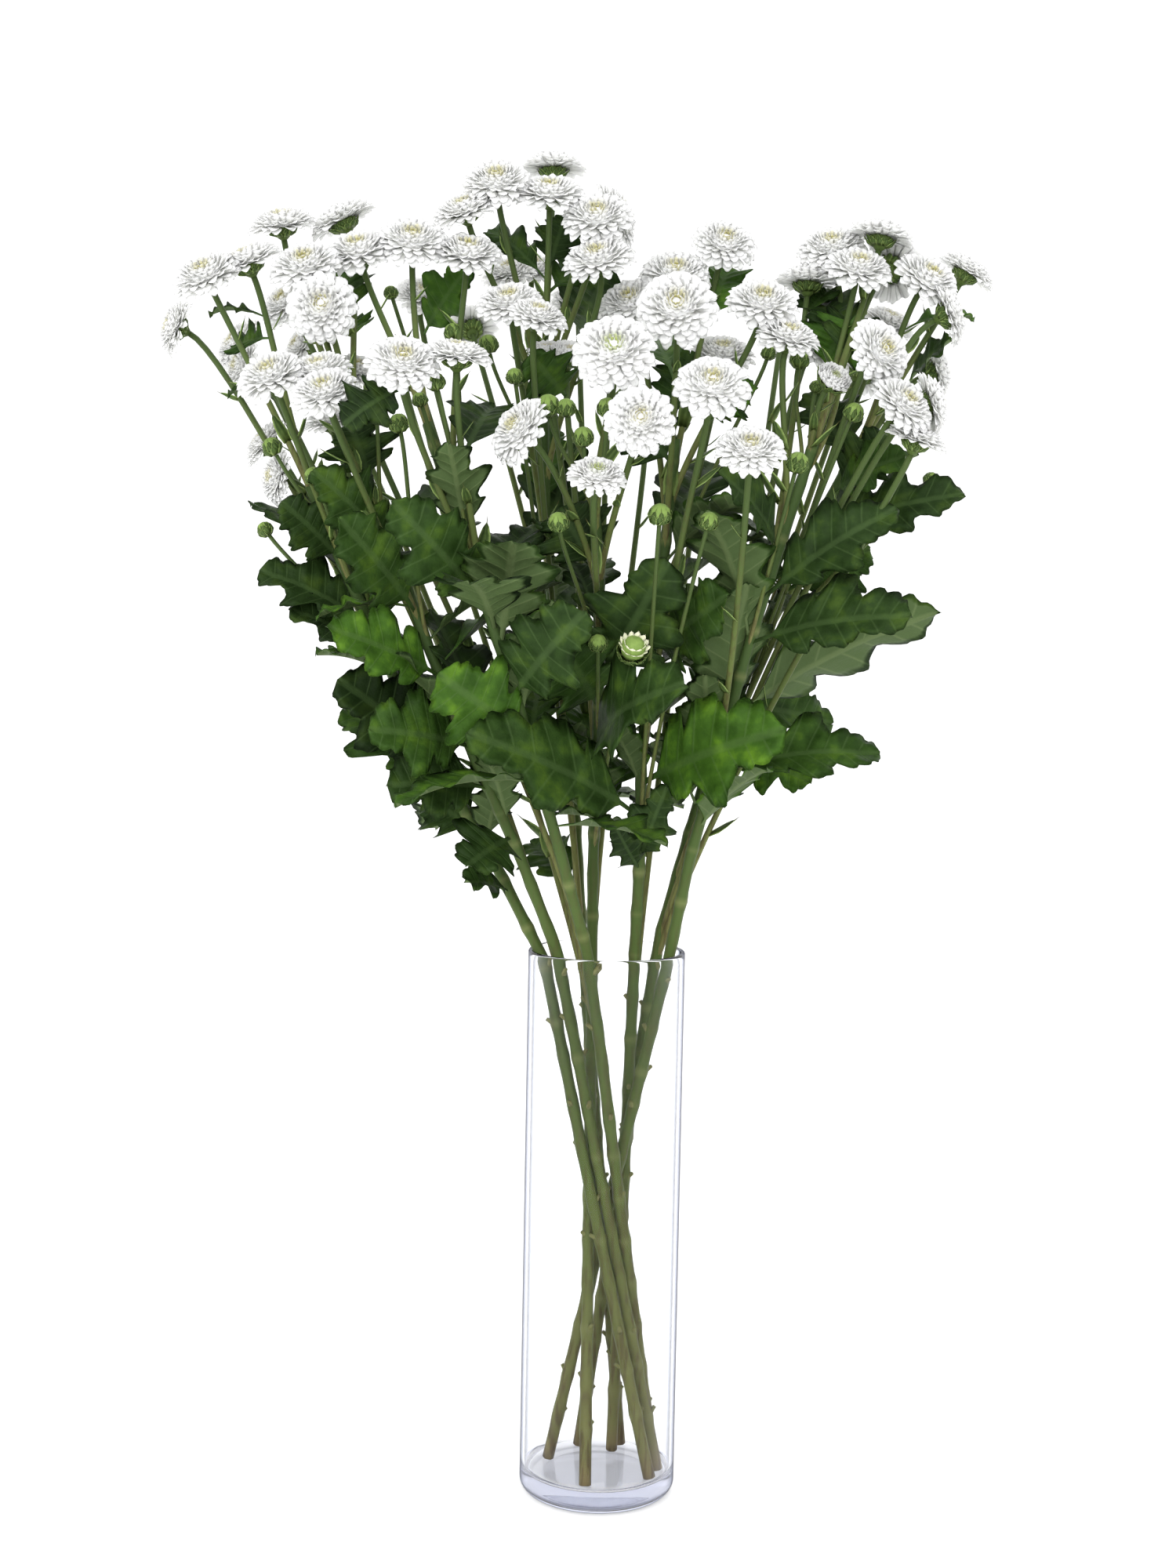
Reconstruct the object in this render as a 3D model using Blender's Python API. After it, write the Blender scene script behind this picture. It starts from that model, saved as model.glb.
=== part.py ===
"""White pompon chrysanthemums in a clear glass cylinder vase.

Eight cut flowering stems stand on the floor of the vase and lean on its rim. Each stem carries
lobed leaves, flower stalks with a green cup under each bloom, and round buds. A bloom is a low
dome of petals in three layers round a dimple.

Metres, +Z up. The origin is the centre of the vase's underside, and the front looks along +Y.
"""

import math
from collections import namedtuple

import bpy
import numpy as np
from mathutils import Vector
from mathutils.bvhtree import BVHTree

# Vase
VASE_RADIUS = 0.050
VASE_HEIGHT = 0.350
VASE_WALL = 0.003
VASE_FLOOR = 0.014
VASE_FOOT_ROUND = 0.008
VASE_INNER_ROUND = 0.005
VASE_SIDES = 30

# Stems, stalks and buds
SEAT_GAP = 0.0003
STEM_RADIUS_FLOOR = 0.0036
STEM_RADIUS_RIM = 0.0034
STEM_RADIUS_CROWN = 0.0030
STEM_SIDES = 6
STEM_RINGS = 11
STEM_STEPS = 12
STEM_FINE = (STEM_RINGS - 1) * STEM_STEPS + 1
CROWN_HEIGHT = 0.70
STALK_RADIUS = 0.0018
STALK_SIDES = 4
STALK_SHARES = (0.0, 0.45, 0.85)
BUD_STALK_SHARES = (0.0, 0.55)
STALK_STEPS = 8
STALK_SHORTEST = 0.040
STALK_SPREAD = math.radians(22)
STALK_BEND = 0.022
BUD_STALK_RADIUS = 0.0012

# The green cup under a bloom: its height, and its radius as a share of the bloom's
CUP_DEPTH = 0.0065
CUP_RADIUS_SHARE = 0.40
# A bud: height over its neck and radius, as shares of the bud's radius
BUD_PROFILE = ((0.10, 0.55), (0.85, 1.00), (1.60, 0.70))
BUD_TOP = 1.95

# A bloom's layers of petals: count, tip radius, valley radius, height, as shares of its radius
PETAL_LAYERS = (
    (8, 1.00, 0.84, 0.12),
    (5, 0.88, 0.72, 0.40),
    (4, 0.60, 0.46, 0.61),
)
# The creases between the layers: radius and height
PETAL_CREASES = ((0.72, 0.30), (0.46, 0.52))
DIMPLE_HEIGHT = 0.52
# How far the middle of a bloom is above the middle of its underside, as a share of its radius
BLOOM_CENTRE_SHARE = 0.35

# A leaf's outline, stalk included: share of the length, share of the half width
LEAF_OUTLINE = (
    (0.00, 0.035), (0.17, 0.045), (0.34, 0.78), (0.45, 0.40),
    (0.57, 1.00), (0.70, 0.80), (0.76, 0.42), (0.89, 0.38), (1.00, 0.00),
)
LEAF_RIB_SHARES = (0.0, 0.17, 0.44, 0.72)
LEAF_THICKNESS = 0.0016
LEAF_FOLD = 0.22
LEAF_ARCH = 0.16

# Clearance kept between one node's pieces and another's
CLEARANCE = 0.0005

# The front view: where the eye is, how it looks, and the frame that sightlines are counted in
EYE = Vector((-0.014, -1.290, 0.538))
EYE_PITCH = math.radians(3.66)
EYE_ROLL = math.radians(1.1)
FRAME_WIDTH_PX = 1500
FRAME_HEIGHT_PX = 2000
FOCAL_PX = 2600


def sight(across_px, down_px, depth):
    """The point that a pixel of the front view shows at this depth behind the vase's axis."""
    right = across_px - FRAME_WIDTH_PX / 2
    down = down_px - FRAME_HEIGHT_PX / 2
    level_right = right * math.cos(EYE_ROLL) + down * math.sin(EYE_ROLL)
    level_down = down * math.cos(EYE_ROLL) - right * math.sin(EYE_ROLL)
    forward = Vector((0, math.cos(EYE_PITCH), -math.sin(EYE_PITCH)))
    up = Vector((0, math.sin(EYE_PITCH), math.cos(EYE_PITCH)))
    ray = Vector((level_right, 0, 0)) - up * level_down + forward * FOCAL_PX
    return EYE + ray * ((depth - EYE.y) / ray.y)


# A stem: where it stands on the floor and leans at the rim (x, y), then points seen in the front
# view as (across px, down px, depth m), up to the crown where it divides
Stem = namedtuple("Stem", "floor rim seen")
# A bloom: its middle in the front view, depth, width, and the way it faces: turn 0 is to the front
# and 90 to the right, tilt 90 is straight up
Head = namedtuple("Head", "name x y depth width turn tilt")
# A bud: a bloom near it, whose first letter names its stem, then its middle in the front view, depth
# and width
Bud = namedtuple("Bud", "name x y depth width")
# A leaf: base and tip in the front view, depth of the tip, width, and roll about its own length
Leaf = namedtuple("Leaf", "stem base tip depth width roll")

STEMS = {
    "a": Stem((0.033, -0.0207), (-0.0413, -0.0066), (
        (650, 1135, 0.004), (590, 1030, -0.010), (520, 900, -0.022), (450, 750, -0.030), (395, 620, -0.030),
    )),
    "b": Stem((0.0386, -0.0055), (-0.0311, -0.0174), (
        (672, 1112, -0.026), (619, 997, -0.040), (560, 860, -0.048), (500, 700, -0.050), (452, 560, -0.042),
    )),
    "c": Stem((0.0367, 0.0123), (-0.012, -0.0293), (
        (716, 1094, -0.048), (703, 1027, -0.058), (664, 918, -0.072), (630, 800, -0.078), (575, 640, -0.070),
        (545, 540, -0.060),
    )),
    "d": Stem((-0.0073, -0.0345), (-0.0093, 0.0224), (
        (757, 1079, 0.014), (762, 940, -0.010), (765, 800, -0.050), (762, 680, -0.072), (755, 600, -0.080),
    )),
    "e": Stem((0.01, 0.025), (0.018, 0.004), (
        (816, 1091, -0.010), (819, 951, -0.020), (832, 850, -0.026), (848, 700, -0.030), (862, 560, -0.030),
    )),
    "f": Stem((-0.032, 0.01), (0.04, -0.008), (
        (871, 1130, -0.018), (904, 1010, -0.034), (930, 910, -0.046), (965, 790, -0.056), (1010, 650, -0.056),
        (1040, 560, -0.050),
    )),
    "g": Stem((-0.0121, 0.0328), (0.033, 0.0179), (
        (880, 1060, 0.030), (925, 910, 0.034), (985, 780, 0.028), (1050, 650, 0.014), (1100, 560, 0.004),
    )),
    "h": Stem((0.0158, 0.0356), (-0.016, 0.0362), (
        (735, 1060, 0.050), (722, 930, 0.060), (706, 800, 0.060), (696, 650, 0.052), (693, 520, 0.040),
    )),
}

HEADS = (
    Head("a1", 217, 414, 0.040, 0.038, -65, 20),
    Head("a2", 258, 343, -0.020, 0.046, -30, 50),
    Head("a3", 312, 325, -0.006, 0.044, -50, 62),
    Head("a4", 297, 434, 0.085, 0.040, -60, 35),
    Head("a5", 303, 464, 0.065, 0.038, -60, 15),
    Head("a6", 342, 471, -0.090, 0.044, -25, 50),
    Head("a7", 333, 560, 0.070, 0.038, -70, 40),
    Head("a8", 346, 607, -0.020, 0.034, -60, 10),
    Head("b1", 358, 277, 0.030, 0.044, -20, 70),
    Head("b2", 432, 272, 0.045, 0.046, -80, 63),
    Head("b3", 387, 330, -0.030, 0.046, -15, 50),
    Head("b4", 409, 387, -0.048, 0.044, 0, 12),
    Head("b5", 360, 380, 0.080, 0.040, -40, 40),
    Head("b6", 405, 465, -0.086, 0.040, -20, 60),
    Head("b7", 412, 492, -0.112, 0.042, -15, 50),
    Head("b8", 379, 437, 0.125, 0.036, -60, 30),
    Head("b9", 421, 529, 0.010, 0.036, -30, 70),
    Head("c1", 455, 312, -0.014, 0.046, -20, 55),
    Head("c2", 526, 299, -0.014, 0.046, 5, 50),
    Head("c3", 597, 315, -0.010, 0.046, 10, 60),
    Head("c4", 540, 371, 0.090, 0.038, 20, 50),
    Head("c5", 514, 454, -0.130, 0.044, 10, 45),
    Head("c6", 584, 444, -0.116, 0.040, 15, 75),
    Head("c7", 456, 466, 0.000, 0.034, 20, 60),
    Head("h1", 633, 224, 0.010, 0.046, -5, 50),
    Head("h2", 591, 260, 0.006, 0.042, -30, 60),
    Head("h3", 648, 341, 0.110, 0.038, -20, 60),
    Head("h4", 649, 378, -0.037, 0.042, -10, 55),
    Head("h5", 687, 396, -0.060, 0.038, 25, 60),
    Head("h6", 706, 205, 0.056, 0.042, 180, 88),
    Head("h7", 701, 238, 0.010, 0.046, 0, 62),
    Head("h8", 762, 269, -0.002, 0.046, -5, 45),
    Head("h9", 794, 269, 0.030, 0.044, 80, 30),
    Head("h10", 761, 322, -0.018, 0.046, -20, 55),
    Head("h11", 680, 336, 0.130, 0.038, 10, 60),
    Head("d1", 656, 543, -0.125, 0.042, -50, 30),
    Head("d2", 783, 440, -0.140, 0.048, -5, 30),
    Head("d3", 817, 532, -0.160, 0.040, 0, 15),
    Head("d4", 762, 600, -0.150, 0.034, 10, 55),
    Head("d5", 698, 445, -0.004, 0.032, -10, 70),
    Head("d6", 728, 448, -0.022, 0.032, 20, 60),
    Head("d7", 738, 378, 0.110, 0.038, 0, 50),
    Head("e1", 803, 379, 0.004, 0.044, -20, 45),
    Head("e2", 862, 342, 0.012, 0.046, 0, 50),
    Head("e3", 863, 385, -0.100, 0.048, -5, 25),
    Head("e4", 926, 303, 0.020, 0.042, 10, 40),
    Head("e5", 974, 378, -0.060, 0.044, 5, 50),
    Head("e6", 909, 484, -0.150, 0.044, 0, 40),
    Head("e7", 922, 444, 0.030, 0.044, 5, 62),
    Head("f1", 1030, 350, 0.020, 0.042, 180, 88),
    Head("f2", 1061, 308, 0.014, 0.044, -10, 55),
    Head("f3", 1126, 292, 0.012, 0.042, 100, 80),
    Head("f4", 1097, 334, -0.014, 0.044, 10, 55),
    Head("f5", 1140, 342, 0.034, 0.042, 150, 15),
    Head("f6", 1008, 422, -0.070, 0.040, 20, 60),
    Head("f7", 1041, 437, 0.020, 0.036, 40, 50),
    Head("f8", 1065, 480, -0.070, 0.028, 30, 40),
    Head("f9", 958, 566, -0.160, 0.040, 0, 50),
    Head("g1", 1188, 349, -0.006, 0.046, 35, 45),
    Head("g2", 1218, 397, -0.010, 0.040, 80, 25),
    Head("g3", 1238, 339, 0.034, 0.040, 75, 60),
    Head("g4", 1129, 444, -0.088, 0.042, 35, 20),
    Head("g5", 1158, 510, -0.102, 0.042, 40, 40),
    Head("g6", 1195, 512, -0.080, 0.038, 90, 20),
    Head("g7", 1172, 552, -0.092, 0.038, 60, 70),
    Head("g8", 1136, 405, 0.070, 0.038, 40, 60),
    Head("g9", 1201, 472, 0.060, 0.038, 90, 20),
    Head("g10", 1103, 471, 0.100, 0.036, 120, 50),
    Head("b10", 420, 498, 0.150, 0.040, -150, 50),
    Head("c8", 520, 462, 0.140, 0.042, 170, 55),
    Head("h12", 600, 415, 0.160, 0.038, -165, 40),
    Head("d8", 785, 452, 0.150, 0.042, 165, 50),
    Head("d9", 820, 540, 0.140, 0.036, -170, 30),
    Head("e8", 905, 492, 0.150, 0.040, 175, 55),
    Head("g11", 1000, 425, 0.160, 0.038, 160, 50),
    Head("g12", 1150, 520, 0.130, 0.038, 150, 40),
)

BUDS = (
    Bud("a2", 346, 568, -0.052, 0.013),
    Bud("a6", 399, 605, -0.060, 0.012),
    Bud("a8", 337, 674, -0.010, 0.011),
    Bud("a6", 435, 648, -0.070, 0.009),
    Bud("b6", 508, 538, -0.090, 0.013),
    Bud("b7", 472, 492, -0.060, 0.009),
    Bud("c4", 498, 372, 0.040, 0.010),
    Bud("c6", 578, 422, -0.010, 0.013),
    Bud("c6", 555, 485, -0.110, 0.012),
    Bud("c5", 535, 508, -0.080, 0.010),
    Bud("h5", 622, 437, 0.020, 0.014),
    Bud("h4", 656, 478, -0.050, 0.011),
    Bud("d2", 699, 515, -0.095, 0.015),
    Bud("d5", 722, 518, -0.100, 0.012),
    Bud("d6", 744, 555, -0.110, 0.013),
    Bud("d1", 712, 664, -0.120, 0.013),
    Bud("d3", 775, 518, -0.120, 0.013),
    Bud("e6", 842, 654, -0.130, 0.014),
    Bud("e6", 905, 663, -0.120, 0.012),
    Bud("e7", 981, 449, 0.000, 0.010),
    Bud("f6", 1020, 457, -0.030, 0.013),
    Bud("f9", 1018, 588, -0.110, 0.014),
    Bud("f8", 1042, 492, -0.050, 0.009),
    Bud("g5", 1090, 524, -0.070, 0.013),
    Bud("g7", 1189, 611, -0.010, 0.011),
    Bud("d4", 763, 819, -0.080, 0.012),
    Bud("d4", 808, 826, -0.100, 0.018),
    Bud("d4", 780, 791, -0.040, 0.011),
)

# Leaves that the front view shows, and how much wider than their rows all are made
LEAF_SPREAD = 1.18
LEAVES = (
    Leaf("e", (814, 1045), (588, 938), -0.085, 0.055, 60),
    Leaf("e", (826, 985), (1000, 930), -0.090, 0.060, 70),
    Leaf("f", (955, 830), (1163, 786), -0.100, 0.052, 55),
    Leaf("f", (925, 925), (1201, 783), -0.020, 0.049, -75),
    Leaf("g", (1040, 690), (1228, 628), 0.000, 0.039, 40),
    Leaf("f", (975, 760), (1141, 646), -0.085, 0.044, 60),
    Leaf("f", (912, 975), (1122, 957), -0.040, 0.044, 40),
    Leaf("g", (915, 940), (1035, 1000), 0.010, 0.042, 50),
    Leaf("g", (930, 905), (1060, 925), 0.070, 0.044, 60),
    Leaf("a", (470, 800), (331, 728), -0.030, 0.042, 40),
    Leaf("a", (500, 860), (366, 780), -0.070, 0.044, 60),
    Leaf("b", (565, 870), (411, 800), -0.110, 0.039, 70),
    Leaf("a", (560, 980), (432, 866), -0.050, 0.052, 60),
    Leaf("a", (575, 1005), (440, 908), 0.020, 0.047, 50),
    Leaf("b", (600, 950), (470, 930), -0.090, 0.049, 70),
    Leaf("b", (625, 1005), (492, 1003), -0.070, 0.047, 60),
    Leaf("a", (610, 1065), (545, 1015), 0.030, 0.039, 50),
    Leaf("b", (650, 1065), (592, 1108), -0.070, 0.042, 70),
    Leaf("a", (650, 1135), (592, 1125), -0.030, 0.026, 40),
    Leaf("h", (740, 1130), (676, 1075), 0.085, 0.036, 60),
    Leaf("e", (815, 1085), (850, 1005), -0.050, 0.026, 70),
    Leaf("e", (815, 1105), (783, 1050), -0.045, 0.021, 70),
    Leaf("c", (675, 945), (560, 860), -0.130, 0.052, 80),
    Leaf("c", (640, 830), (655, 690), -0.135, 0.052, -60),
    Leaf("c", (600, 700), (572, 568), -0.125, 0.031, -40),
    Leaf("c", (512, 495), (438, 540), -0.135, 0.034, 60),
    Leaf("c", (545, 425), (598, 338), 0.050, 0.030, 60),
    Leaf("a", (361, 429), (297, 446), 0.020, 0.028, 60),
    Leaf("a", (330, 410), (266, 399), 0.030, 0.008, 30),
    Leaf("a", (350, 512), (291, 500), 0.000, 0.009, 30),
    Leaf("h", (712, 345), (722, 276), 0.050, 0.030, 60),
    Leaf("h", (703, 380), (757, 338), 0.080, 0.034, 60),
    Leaf("d", (722, 425), (778, 345), 0.040, 0.044, 60),
    Leaf("e", (900, 425), (931, 340), 0.050, 0.040, 60),
    Leaf("e", (860, 482), (826, 426), 0.030, 0.036, 70),
    Leaf("e", (915, 538), (962, 492), -0.060, 0.026, 60),
    Leaf("f", (1050, 463), (1102, 402), 0.020, 0.038, 60),
    Leaf("g", (1152, 490), (1216, 435), 0.020, 0.032, 50),
    Leaf("g", (1140, 420), (1243, 404), 0.050, 0.013, 30),
    Leaf("f", (1040, 406), (1062, 369), 0.050, 0.020, 50),
    Leaf("g", (1060, 630), (1156, 580), -0.030, 0.034, 60),
    Leaf("e", (845, 715), (943, 645), -0.110, 0.034, -50),
    Leaf("d", (762, 900), (700, 800), -0.110, 0.052, 80),
    Leaf("d", (764, 840), (850, 720), -0.120, 0.052, 80),
    Leaf("e", (835, 830), (930, 760), -0.110, 0.049, 75),
    Leaf("d", (762, 960), (860, 870), -0.110, 0.052, 70),
    Leaf("c", (655, 890), (745, 780), -0.140, 0.047, 80),
    Leaf("b", (525, 780), (430, 660), -0.110, 0.044, 70),
    Leaf("b", (500, 700), (400, 600), -0.080, 0.039, 60),
    Leaf("a", (440, 730), (360, 640), -0.060, 0.039, 60),
    Leaf("c", (620, 770), (500, 640), -0.130, 0.044, 80),
    Leaf("f", (990, 710), (920, 600), -0.110, 0.042, 80),
    Leaf("g", (1000, 760), (1110, 700), 0.060, 0.044, 50),
    Leaf("f", (1093, 436), (1036, 376), 0.050, 0.036, 60),
    Leaf("f", (1095, 402), (1052, 462), 0.030, 0.044, 60),
    Leaf("e", (978, 494), (900, 528), -0.040, 0.044, 70),
    Leaf("h", (680, 357), (622, 290), 0.060, 0.022, 60),
    Leaf("b", (480, 410), (436, 345), 0.030, 0.032, 60),
    Leaf("b", (500, 445), (440, 412), 0.040, 0.034, 60),
    Leaf("b", (515, 595), (446, 540), -0.040, 0.044, 70),
    Leaf("d", (725, 510), (676, 452), -0.020, 0.040, 70),
    Leaf("c", (690, 570), (632, 512), -0.040, 0.042, 70),
    Leaf("g", (1060, 620), (1132, 556), 0.020, 0.040, 60),
    Leaf("g", (1080, 585), (1034, 500), 0.030, 0.040, 60),
    Leaf("d", (765, 745), (712, 650), -0.060, 0.046, 75),
    Leaf("e", (850, 590), (790, 520), -0.040, 0.042, 70),
    Leaf("e", (850, 540), (880, 452), 0.020, 0.040, 70),
)

# Leaves placed by rule on every stem: share of the way up it, and 1 for the back or -1 for the front
RULED_LEAVES = (
    (0.39, -1), (0.52, 1), (0.56, -1), (0.76, 1), (0.43, 1), (0.47, -1), (0.66, 1), (0.70, -1),
    (0.86, 1),
)
RULED_LEAF_LENGTH = 0.096
RULED_LEAF_WIDTH = 0.054
GOLDEN_ANGLE = math.radians(137.5)

FOLIAGE_COLOUR = (0.060, 0.130, 0.028, 1)
PETAL_COLOUR = (0.86, 0.87, 0.84, 1)
GLASS_COLOUR = (0.95, 0.97, 0.98, 1)

Piece = namedtuple("Piece", "points faces")


def bridged(low, low_start, high, high_start):
    """Triangles between two rings of point numbers that go the same way round.

    A start is the share of a turn at which a ring's first point stands.
    """
    faces = []
    low_steps = len(low) if len(low) > 1 else 0
    high_steps = len(high) if len(high) > 1 else 0
    at_low = at_high = 0
    while at_low < low_steps or at_high < high_steps:
        corner = low[at_low % len(low)]
        other = high[at_high % len(high)]
        low_next = low_start + (at_low + 1) / len(low)
        high_next = high_start + (at_high + 1) / len(high)
        if at_high == high_steps or (at_low < low_steps and low_next <= high_next):
            at_low += 1
            faces.append((corner, low[at_low % len(low)], other))
        else:
            at_high += 1
            faces.append((corner, high[at_high % len(high)], other))
    return faces


def skin(rings, starts=None):
    """A closed surface over rings of points, from one end to the other. A ring of one point is a tip."""
    starts = starts or [0.0] * len(rings)
    points = []
    numbers = []
    for ring in rings:
        numbers.append(list(range(len(points), len(points) + len(ring))))
        points.extend(ring)
    faces = []
    for k in range(len(rings) - 1):
        faces.extend(bridged(numbers[k], starts[k], numbers[k + 1], starts[k + 1]))
    if len(numbers[0]) > 1:
        faces.append(tuple(reversed(numbers[0])))
    if len(numbers[-1]) > 1:
        faces.append(tuple(numbers[-1]))
    return Piece(points, faces)


def ring(centre, across, along, radius, sides):
    """Points on a circle round a centre, from the two directions of its plane."""
    points = []
    for k in range(sides):
        angle = math.tau * k / sides
        points.append(centre + (across * math.cos(angle) + along * math.sin(angle)) * radius)
    return points


def tube(path, radii, sides, flat_start=False):
    """Rings along a path, each turned as little as possible from the one before."""
    across = None
    rings = []
    for k, centre in enumerate(path):
        way = (path[min(k + 1, len(path) - 1)] - path[max(k - 1, 0)]).normalized()
        if flat_start and k == 0:
            way = Vector((0, 0, 1))
        hint = across or (Vector((1, 0, 0)) if abs(way.x) < 0.8 else Vector((0, 1, 0)))
        across = (hint - way * hint.dot(way)).normalized()
        rings.append(ring(centre, across, way.cross(across), radii[k], sides))
    return rings


def smooth_path(points, count):
    """This many points, evenly spaced along a smooth curve through the given ones."""
    ends = [points[0] * 2 - points[1]] + list(points) + [points[-1] * 2 - points[-2]]
    fine = []
    for k in range(1, len(ends) - 2):
        before, here, there, after = ends[k - 1 : k + 3]
        for step in range(24):
            t = step / 24
            fine.append(
                0.5
                * (
                    here * 2
                    + (there - before) * t
                    + (before * 2 - here * 5 + there * 4 - after) * t**2
                    + (here * 3 - before - there * 3 + after) * t**3
                )
            )
    fine.append(points[-1].copy())
    lengths = [0.0]
    for k in range(1, len(fine)):
        lengths.append(lengths[-1] + (fine[k] - fine[k - 1]).length)
    spots = np.linspace(0, lengths[-1], count)
    columns = [np.interp(spots, lengths, [p[axis] for p in fine]) for axis in range(3)]
    return [Vector(row) for row in zip(*columns)]


def facing(turn, tilt):
    """The unit direction that a bloom faces."""
    level = math.cos(math.radians(tilt))
    side = math.radians(turn)
    return Vector((math.sin(side) * level, -math.cos(side) * level, math.sin(math.radians(tilt))))


def square_to(way):
    """Two directions that are square to this one and to each other."""
    hint = Vector((0, 0, 1)) if abs(way.z) < 0.9 else Vector((0, 1, 0))
    across = hint.cross(way).normalized()
    return across, way.cross(across)


def bloom_seat(head):
    """The lowest point of a bloom, in the middle of its underside."""
    middle = sight(head.x, head.y, head.depth)
    return middle - facing(head.turn, head.tilt) * (head.width / 2 * BLOOM_CENTRE_SHARE)


def bloom(head, number):
    """A dome of pointed petals in three layers round a dimple, as one surface from its underside up."""
    radius = head.width / 2
    seat = bloom_seat(head)
    way = facing(head.turn, head.tilt)
    across, along = square_to(way)
    spin = number * GOLDEN_ANGLE

    def at(share, out, height):
        angle = spin + math.tau * share
        side = across * math.cos(angle) + along * math.sin(angle)
        return seat + side * (out * radius) + way * (height * radius)

    rings = [[seat]]
    starts = [0.0]
    for layer, (count, tip, valley, height) in enumerate(PETAL_LAYERS):
        start = 0.37 * layer / count
        star = []
        for k in range(2 * count):
            share = start + k / (2 * count)
            out = valley if k % 2 else tip
            low = height * valley / tip if k % 2 and layer == 0 else height
            star.append(at(share, out, low))
        rings.append(star)
        starts.append(start)
        if layer < len(PETAL_CREASES):
            out, height = PETAL_CREASES[layer]
            rings.append([at(start + k / count, out, height) for k in range(count)])
            starts.append(start)
    rings.append([seat + way * (DIMPLE_HEIGHT * radius)])
    starts.append(0.0)
    return skin(rings, starts)


def fine_line(corners, steps):
    """Points evenly spaced on the straight runs between these corners."""
    points = []
    for start, end in zip(corners, corners[1:]):
        points += [start.lerp(end, k / steps) for k in range(steps)]
    return points + [corners[-1].copy()]


def stem_path(stem):
    """Where a main stem runs: straight from the vase's floor to its rim, then through the seen points."""
    low = Vector((stem.floor[0], stem.floor[1], VASE_FLOOR + SEAT_GAP))
    rim = Vector((stem.rim[0], stem.rim[1], VASE_HEIGHT))
    points = [low, low.lerp(rim, 0.35), low.lerp(rim, 0.7), rim]
    points += [sight(*seen) for seen in stem.seen]
    return fine_line(smooth_path(points, STEM_RINGS), STEM_STEPS)


def stem_radius(height):
    """A stem narrows from the floor to the rim and on to the crown."""
    heights = (VASE_FLOOR, VASE_HEIGHT, CROWN_HEIGHT)
    radii = (STEM_RADIUS_FLOOR, STEM_RADIUS_RIM, STEM_RADIUS_CROWN)
    return float(np.interp(height, heights, radii))


def main_stem(path, extra=0.0):
    """A tube along the stem's path, its foot cut level so that it stands on the vase's floor."""
    spots = path[::STEM_STEPS]
    radii = [stem_radius(p.z) + extra for p in spots]
    rings = tube(spots, radii, STEM_SIDES, flat_start=True)
    tip = spots[-1] + (spots[-1] - spots[-2]).normalized() * radii[-1]
    return skin(rings + [[tip]])


def bezier(ends, share):
    """A point on a cubic curve from its four control points."""
    a, b, c, d = ends
    rest = 1 - share
    return a * rest**3 + b * (3 * rest**2 * share) + c * (3 * rest * share**2) + d * share**3


def stalk_curve(path, neck, way, shift, side, bulge):
    """Control points of a stalk that leaves the stem upwards and meets its bloom or bud from below.

    It leaves where the way to the neck is within the spread of the stem's own direction.
    """
    first = STEM_FINE * 4 // 10
    best = None
    for k in range(len(path) - 2, first, -1):
        reach = neck - path[k]
        angle = reach.angle((path[k + 1] - path[k - 1]).normalized())
        if reach.length < STALK_SHORTEST:
            continue
        if best is None or angle < best[0]:
            best = (angle, k)
        if angle < STALK_SPREAD:
            break
    k = min(max(best[1] + shift, first), len(path) - 2)
    base = path[k]
    reach = neck - base
    along = (path[k + 1] - path[k - 1]).normalized()
    across, up = square_to(reach.normalized())
    push = (across * math.cos(side) + up * math.sin(side)) * bulge
    leave = (along + reach.normalized()).normalized()
    bend = min(0.30 * reach.length, STALK_BEND)
    return base, base + leave * (0.35 * reach.length) + push, neck - way * bend + push * 0.5, neck


def stalk_options():
    """Ways to lead a stalk, the plainest first: steps along the stem, and a bulge to any side."""
    for bulge in (0.0, 0.005, 0.010, 0.016, 0.024):
        for shift in (0, -2, 2, -4, 4, -7, 7, -10):
            for k in range(1 if bulge == 0 else 8):
                yield shift, math.tau * k / 8, bulge


def stalk(ends, radius, shares, extra=0.0):
    """The rings of a bare stalk up to just below its neck."""
    spots = [bezier(ends, share) for share in shares]
    return tube(spots + [ends[3]], [radius + extra] * (len(spots) + 1), STALK_SIDES)[:-1]


def flower_stalk(head, ends):
    """A stalk that widens into the cup under its bloom, with the bloom's own slope on top."""
    radius = head.width / 2
    seat = bloom_seat(head)
    way = facing(head.turn, head.tilt)
    rings = stalk(ends, STALK_RADIUS, STALK_SHARES)
    across = (rings[-1][0] - bezier(ends, STALK_SHARES[-1])).normalized()
    across = (across - way * across.dot(way)).normalized()
    along = way.cross(across)
    slope = PETAL_LAYERS[0][3] / PETAL_LAYERS[0][1]
    rim = CUP_RADIUS_SHARE * radius
    rings.append(ring(ends[3], across, along, STALK_RADIUS * 1.1, STALK_SIDES))
    lift = rim * slope * math.cos(math.pi / STALK_SIDES) - SEAT_GAP
    rings.append(ring(seat + way * lift, across, along, rim, STALK_SIDES))
    rings.append([seat - way * SEAT_GAP])
    return skin(rings)


def bud_piece(bud, ends):
    """A thin stalk with a round bud on its end."""
    radius = bud.width / 2
    way = (ends[3] - ends[2]).normalized()
    rings = stalk(ends, BUD_STALK_RADIUS, BUD_STALK_SHARES)
    across = (rings[-1][0] - bezier(ends, BUD_STALK_SHARES[-1])).normalized()
    across = (across - way * across.dot(way)).normalized()
    along = way.cross(across)
    for height, share in BUD_PROFILE:
        rings.append(ring(ends[3] + way * (height * radius), across, along, share * radius, STALK_SIDES))
    rings.append([ends[3] + way * (BUD_TOP * radius)])
    return skin(rings)


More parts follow.
